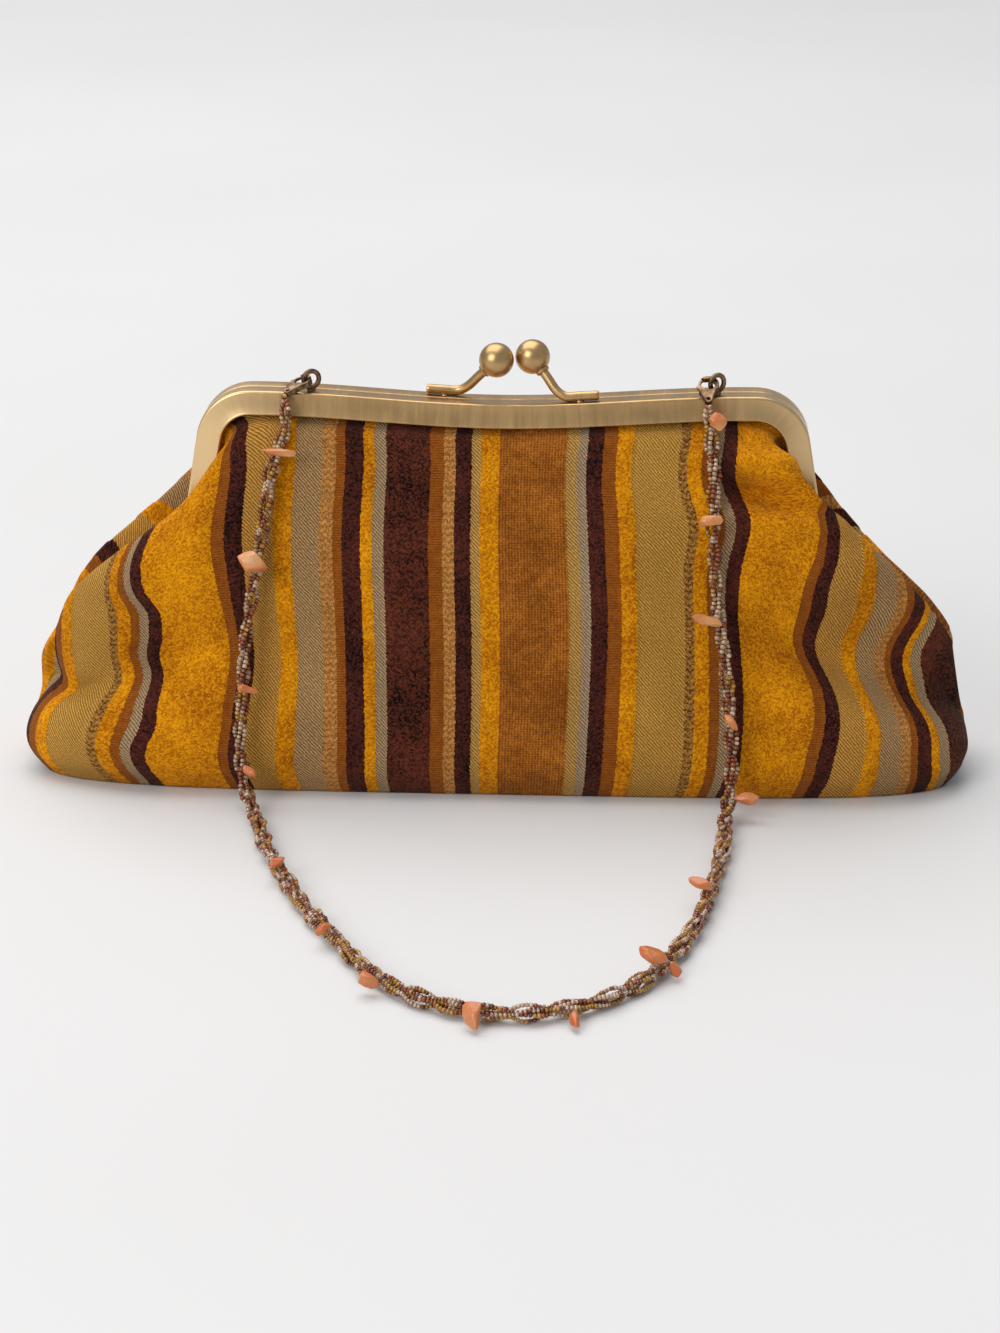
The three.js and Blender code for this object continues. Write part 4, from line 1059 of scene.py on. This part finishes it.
def bead_tree():
    """Strings of beads: points along each string, a drilled bead on each, and its colour by a drawn lot."""
    tree = bpy.data.node_groups.new("bead_strings", "GeometryNodeTree")
    face = tree.interface
    face.new_socket("Geometry", in_out="INPUT", socket_type="NodeSocketGeometry")
    for name in ("Bead Size", "Pitch", "Clear Lots", "Brown Lots", "Run"):
        face.new_socket(name, in_out="INPUT", socket_type="NodeSocketFloat")
    face.new_socket("Seed", in_out="INPUT", socket_type="NodeSocketInt")
    for name in ("Amber", "Brown", "Clear"):
        face.new_socket(name, in_out="INPUT", socket_type="NodeSocketMaterial")
    face.new_socket("Geometry", in_out="OUTPUT", socket_type="NodeSocketGeometry")
    given = tree.nodes.new("NodeGroupInput").outputs
    size = given["Bead Size"]
    hub, wall = (calc(tree, "MULTIPLY", size, share) for share in (BEAD_HUB, BEAD_WALL))
    hub = put(tree, "GeometryNodeCurvePrimitiveCircle", {"Resolution": 8, "Radius": hub})
    wall = put(tree, "GeometryNodeCurvePrimitiveCircle", {"Resolution": 5, "Radius": wall})
    ring = put(tree, "GeometryNodeCurveToMesh", {"Curve": hub.outputs[0], "Profile Curve": wall.outputs[0]})
    bead = put(tree, "GeometryNodeTransform", {"Geometry": ring.outputs[0], "Scale": (1, 1, BEAD_HEIGHT)})
    sockets = {"Curve": given["Geometry"], "Length": given["Pitch"]}
    points = put(tree, "GeometryNodeCurveToPoints", sockets, mode="LENGTH")
    index = put(tree, "GeometryNodeInputIndex").outputs[0]
    group = calc(tree, "FLOOR", calc(tree, "DIVIDE", index, given["Run"]))
    sockets = {"ID": group, "Seed": given["Seed"]}
    drawn = put(tree, "FunctionNodeRandomValue", sockets, data_type="FLOAT").outputs[1]
    near = put(tree, "ShaderNodeTexNoise", {"Scale": 230, "Detail": 1}).outputs["Fac"]
    near = ranged(tree, near, 0.3, 0.7, 0, LOT_NEAR)
    lot = calc(tree, "ADD", calc(tree, "MULTIPLY", drawn, LOT_DRAWN), near)
    sockets = {"Geometry": points.outputs["Points"], "Name": "lot", "Value": lot}
    named = put(tree, "GeometryNodeStoreNamedAttribute", sockets)
    sockets = {2: BEAD_UNEVEN[0], 3: BEAD_UNEVEN[1], "Seed": given["Seed"]}
    uneven = put(tree, "FunctionNodeRandomValue", sockets, data_type="FLOAT").outputs[1]
    sockets = {"Points": named.outputs[0], "Instance": bead.outputs[0]}
    sockets |= {"Rotation": points.outputs["Rotation"], "Scale": uneven}
    strung = put(tree, "GeometryNodeInstanceOnPoints", sockets)
    whole = put(tree, "GeometryNodeRealizeInstances", {"Geometry": strung.outputs[0]})
    soft = put(tree, "GeometryNodeSetShadeSmooth", {"Geometry": whole.outputs[0]})
    drawn = put(tree, "GeometryNodeInputNamedAttribute", {"Name": "lot"}, data_type="FLOAT").outputs[0]
    is_clear = put(tree, "FunctionNodeCompare", {0: drawn, 1: given["Clear Lots"]}, operation="LESS_THAN")
    either = calc(tree, "ADD", given["Clear Lots"], given["Brown Lots"])
    not_amber = put(tree, "FunctionNodeCompare", {0: drawn, 1: either}, operation="LESS_THAN")
    made = put(tree, "GeometryNodeSetMaterial", {"Geometry": soft.outputs[0], "Material": given["Amber"]})
    for pick, name in ((not_amber, "Brown"), (is_clear, "Clear")):
        sockets = {"Geometry": made.outputs[0], "Selection": pick.outputs[0], "Material": given[name]}
        made = put(tree, "GeometryNodeSetMaterial", sockets)
    put(tree, "NodeGroupOutput", {0: made.outputs[0]})
    return tree


def set_inputs(modifier, values):
    """Sets a Geometry Nodes modifier's inputs by their names in the tree."""
    for item in modifier.node_group.interface.items_tree:
        if item.item_type == "SOCKET" and item.in_out == "INPUT" and item.name in values:
            modifier[item.identifier] = values[item.name]


coarse = smooth_line(ROPE_ROUTE, np.linspace(0, 1, ROUTE_POINTS))
run = way_along(coarse)
rope_length = run[-1]
rope_run = np.arange(0, rope_length, ROPE_STEP)
rope_line = np.stack([np.interp(rope_run, run, coarse[:, k]) for k in range(3)], axis=1)
rope_side, rope_up, _ = turned_about(rope_line)
bead_strings = bead_tree()
amber_bead = bead_finish("amber_bead", shade(150, 98, 22), shade(212, 158, 62), 0, 0.1, 0.3)
smoky_bead = bead_finish("smoky_bead", shade(164, 128, 98), shade(234, 204, 170), 0.1, 0.08, 0.4)
brown_bead = bead_finish("brown_bead", shade(96, 36, 8), shade(154, 72, 20), 0, 0.12, 0.15)
clear_bead = bead_finish("clear_bead", shade(206, 174, 152), shade(250, 222, 198), 0.1, 0.08, 0.5)


def string_lines(row):
    """The strings of a stretch: they turn about the rope, part at a bulge and gather at a pinch."""
    inside = (rope_run >= row["share"][0] * rope_length) & (rope_run <= row["share"][1] * rope_length)
    along = rope_run[inside]
    to_clasp = np.minimum(along, rope_length - along)
    wander, wander_length = LANTERN_WANDER
    phase = math.pi * along / row["lantern"] + wander * np.sin(along / wander_length)
    swell = np.abs(np.sin(phase)) ** LANTERN_SHAPE
    radius = row["thin"] + (row["thick"] - row["thin"]) * swell
    radius = radius * np.clip(ROPE_END + to_clasp / ROPE_END_TAPER, 0, 1)
    for k in range(row["strings"] + row["core"]):
        inner = k >= row["strings"]
        count = row["core"] if inner else row["strings"]
        size, length, lag = STRING_SWAY
        turn = 2 * math.pi * k / count + row["twist"] * along + size * np.sin(along / length + lag * k)
        size, length, lag = STRING_REACH
        reach = radius * (MEAN_REACH + size * np.sin(along / length + lag * k))
        reach = reach * (CORE_REACH if inner else 1)
        line = rope_line[inside] + rope_side[inside] * (reach * np.cos(turn))[:, None]
        line = line + rope_up[inside] * (reach * np.sin(turn))[:, None]
        line[:, 2] = np.maximum(line[:, 2], row["bead"] / 2)
        yield line if k % 2 == 0 else line[to_clasp > LATE_START]


for name, row in STRETCHES.items():
    strings = bpy.data.curves.new("strings_" + name, "CURVE")
    strings.dimensions = "3D"
    for line in string_lines(row):
        spline = strings.splines.new("POLY")
        spline.points.add(len(line) - 1)
        spline.points.foreach_set("co", np.column_stack([line * MM, np.ones(len(line))]).ravel())
    holder = new_piece("strings_" + name, strings)
    mix = BEAD_MIX["loop" if name == "loop" else "fall"]
    stringing = holder.modifiers.new("beads", "NODES")
    stringing.node_group = bead_strings
    size = row["bead"] * MM
    glass = clear_bead if name == "loop" else smoky_bead
    set_inputs(stringing, {"Bead Size": size, "Pitch": size * BEAD_PITCH})
    set_inputs(stringing, {"Seed": row["seed"], "Run": float(mix["run"])})
    set_inputs(stringing, {"Clear Lots": mix["clear"], "Brown Lots": mix["brown"]})
    set_inputs(stringing, {"Amber": amber_bead, "Brown": brown_bead, "Clear": glass})
    strung = holder.evaluated_get(bpy.context.evaluated_depsgraph_get())
    beads = new_piece("bead_" + name, bpy.data.meshes.new_from_object(strung))
    bpy.data.objects.remove(holder)
    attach(beads, "bag")
    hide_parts("bead_rope")

# Coral chips: tumbled splinters of coral, drilled and strung between the seed beads of an outer string.
# They are polished, salmon to deep orange, with paler clouds and small pits.
CHIP_COUNT = 17
CHIP_LEVELS = 3
CHIP_RELIEF = 0.14
CHIP_FACETS = 9
FACET_DEPTH = (0.5, 0.85)
FACET_ROUNDING = 0.25
FLAT_TILT = 0.3
BUMPS, SMALL_BUMPS = 420, 1100


def coral_finish():
    """Polished coral with pale clouds and a faint depth; the chips on the floor are a deeper orange."""
    material, tree, surface = new_finish("polished_coral")
    spot = put(tree, "ShaderNodeTexCoord").outputs["Object"]
    clouds = clouded(tree, spot, 95, 3)
    pits = clouded(tree, spot, 1300, 4)
    colour = mixed(tree, ranged(tree, clouds, 0.3, 0.52, 0, 1), shade(188, 92, 38), shade(206, 134, 76))
    colour = mixed(tree, ranged(tree, clouds, 0.52, 0.75, 0, 0.85), colour, shade(214, 176, 128))
    height = put(tree, "ShaderNodeSeparateXYZ", {0: spot}).outputs[2]
    colour = mixed(tree, ranged(tree, height, 0.008, 0.03, 0.5, 0), colour, shade(186, 84, 36))
    join(tree, surface, {"Base Color": colour, "Roughness": ranged(tree, pits, 0.3, 0.7, 0.28, 0.5)})
    join(tree, surface, {"Coat Weight": 0.3, "Coat Roughness": 0.15, "Subsurface Weight": 0.12})
    join(tree, surface, {"Subsurface Radius": (0.0012, 0.0005, 0.0003), "Subsurface Scale": 1})
    engrave(tree, surface, pits, 0.35, 0.0001)
    return material


coral = coral_finish()
for number in range(1, CHIP_COUNT + 1):
    node = f"coral_chip_{number:02d}"
    stone = welded_copy(f"coral_stone_{number:02d}", node)
    rounding = stone.modifiers.new("rounding", "SUBSURF")
    rounding.levels = rounding.render_levels = CHIP_LEVELS
    mesh = plain_mesh(stone)
    low, high = (np.array(corner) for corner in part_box(node))
    points = np.empty(len(mesh.vertices) * 3)
    mesh.vertices.foreach_get("co", points)
    points = points.reshape(-1, 3)
    points = low + (points - points.min(0)) / np.ptp(points, axis=0) * (high - low)
    middle = points.mean(0)
    axes = np.linalg.eigh(np.cov((points - middle).T))[1]
    local = (points - middle) @ axes
    half = np.abs(local).max(0)
    local /= half
    draw = np.random.default_rng(number)
    facets = list(draw.normal(size=(CHIP_FACETS, 3)))
    facets += [(0, side, FLAT_TILT * draw.normal()) for side in (-1, 1)]
    for facing in facets:
        facing = facing / np.linalg.norm(facing)
        above = local @ facing - draw.uniform(*FACET_DEPTH)
        local -= np.outer(np.maximum(above, 0) * (1 - FACET_ROUNDING), facing)
    local[:, 2] /= np.abs(local[:, 2]).max()
    points = middle + (local * half) @ axes.T
    out = points - points.mean(0)
    out /= np.linalg.norm(out, axis=1)[:, None]
    bumps = [noise.noise(Vector(p) * BUMPS) + noise.noise(Vector(p) * SMALL_BUMPS) / 2 for p in points]
    points += out * (np.array(bumps) * CHIP_RELIEF * MM)[:, None]
    mesh.vertices.foreach_set("co", points.ravel())
    all_smooth(mesh)
    mesh.materials.append(coral)
    mesh.update()
    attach(stone, "bag")
    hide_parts(node)

# Studio: a pale seamless floor under soft light from behind and above, with a weaker lamp in front.
# The camera looks down a little, at eye height for a table-top picture.
FLOOR_SIZE = 6
FLOOR_PLACE = (0, 1, -0.0003)
SKY_COLOUR = (0.93, 0.96, 1, 1)
SKY_STRENGTH = 0.46
CAMERA_PLACE = (0.04144, -0.899, 0.36864)
CAMERA_DOWN = 20.5
CAMERA_TURN = 2.7
FOCAL_PIXELS = 2930
IMAGE_WIDTH = 1000
SENSOR = 36


def floor_finish():
    """Matt white board with a trace of unevenness."""
    material, tree, surface = new_finish("pale_floor")
    spot = put(tree, "ShaderNodeTexCoord").outputs["Object"]
    colour = mixed(tree, clouded(tree, spot, 3, 2), shade(213, 212, 211), shade(221, 221, 222))
    join(tree, surface, {"Base Color": colour, "Roughness": 0.7})
    return material


work = bmesh.new()
bmesh.ops.create_grid(work, x_segments=8, y_segments=8, size=FLOOR_SIZE / 2)
board = bpy.data.meshes.new("floor")
work.to_mesh(board)
work.free()
board.materials.append(floor_finish())
floor = new_piece("floor", board)
floor.location = FLOOR_PLACE
floor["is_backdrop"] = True


def soft_light(name, place, aim, size, power, colour):
    """A large square lamp turned towards a spot."""
    lamp = bpy.data.lights.new(name, "AREA")
    lamp.shape = "SQUARE"
    lamp.size = size
    lamp.energy = power
    lamp.color = colour
    holder = new_piece(name, lamp)
    holder.location = place
    holder.rotation_euler = (Vector(aim) - Vector(place)).to_track_quat("-Z", "Y").to_euler()


soft_light("key_light", (-0.6, 1.0, 2.4), (-0.1, 0.8, 0), 3, 66, (1, 0.98, 0.96))
soft_light("fill_light", (-1.1, -1.5, 1.1), (0, 0, 0.05), 1.1, 19, (1, 0.98, 0.95))
world = bpy.data.worlds.new("studio")
world.use_nodes = True
sky = world.node_tree.nodes["Background"]
join(world.node_tree, sky, {"Color": SKY_COLOUR, "Strength": SKY_STRENGTH})
bpy.context.scene.world = world
bpy.context.scene.view_settings.view_transform = "Standard"

lens = bpy.data.cameras.new("camera")
lens.sensor_fit = "HORIZONTAL"
lens.sensor_width = SENSOR
lens.lens = FOCAL_PIXELS / IMAGE_WIDTH * SENSOR
lens.clip_end = 20
camera = new_piece("camera", lens)
camera.location = CAMERA_PLACE
camera.rotation_euler = (math.radians(90 - CAMERA_DOWN), 0, math.radians(CAMERA_TURN))
bpy.context.scene.camera = camera

low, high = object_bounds()
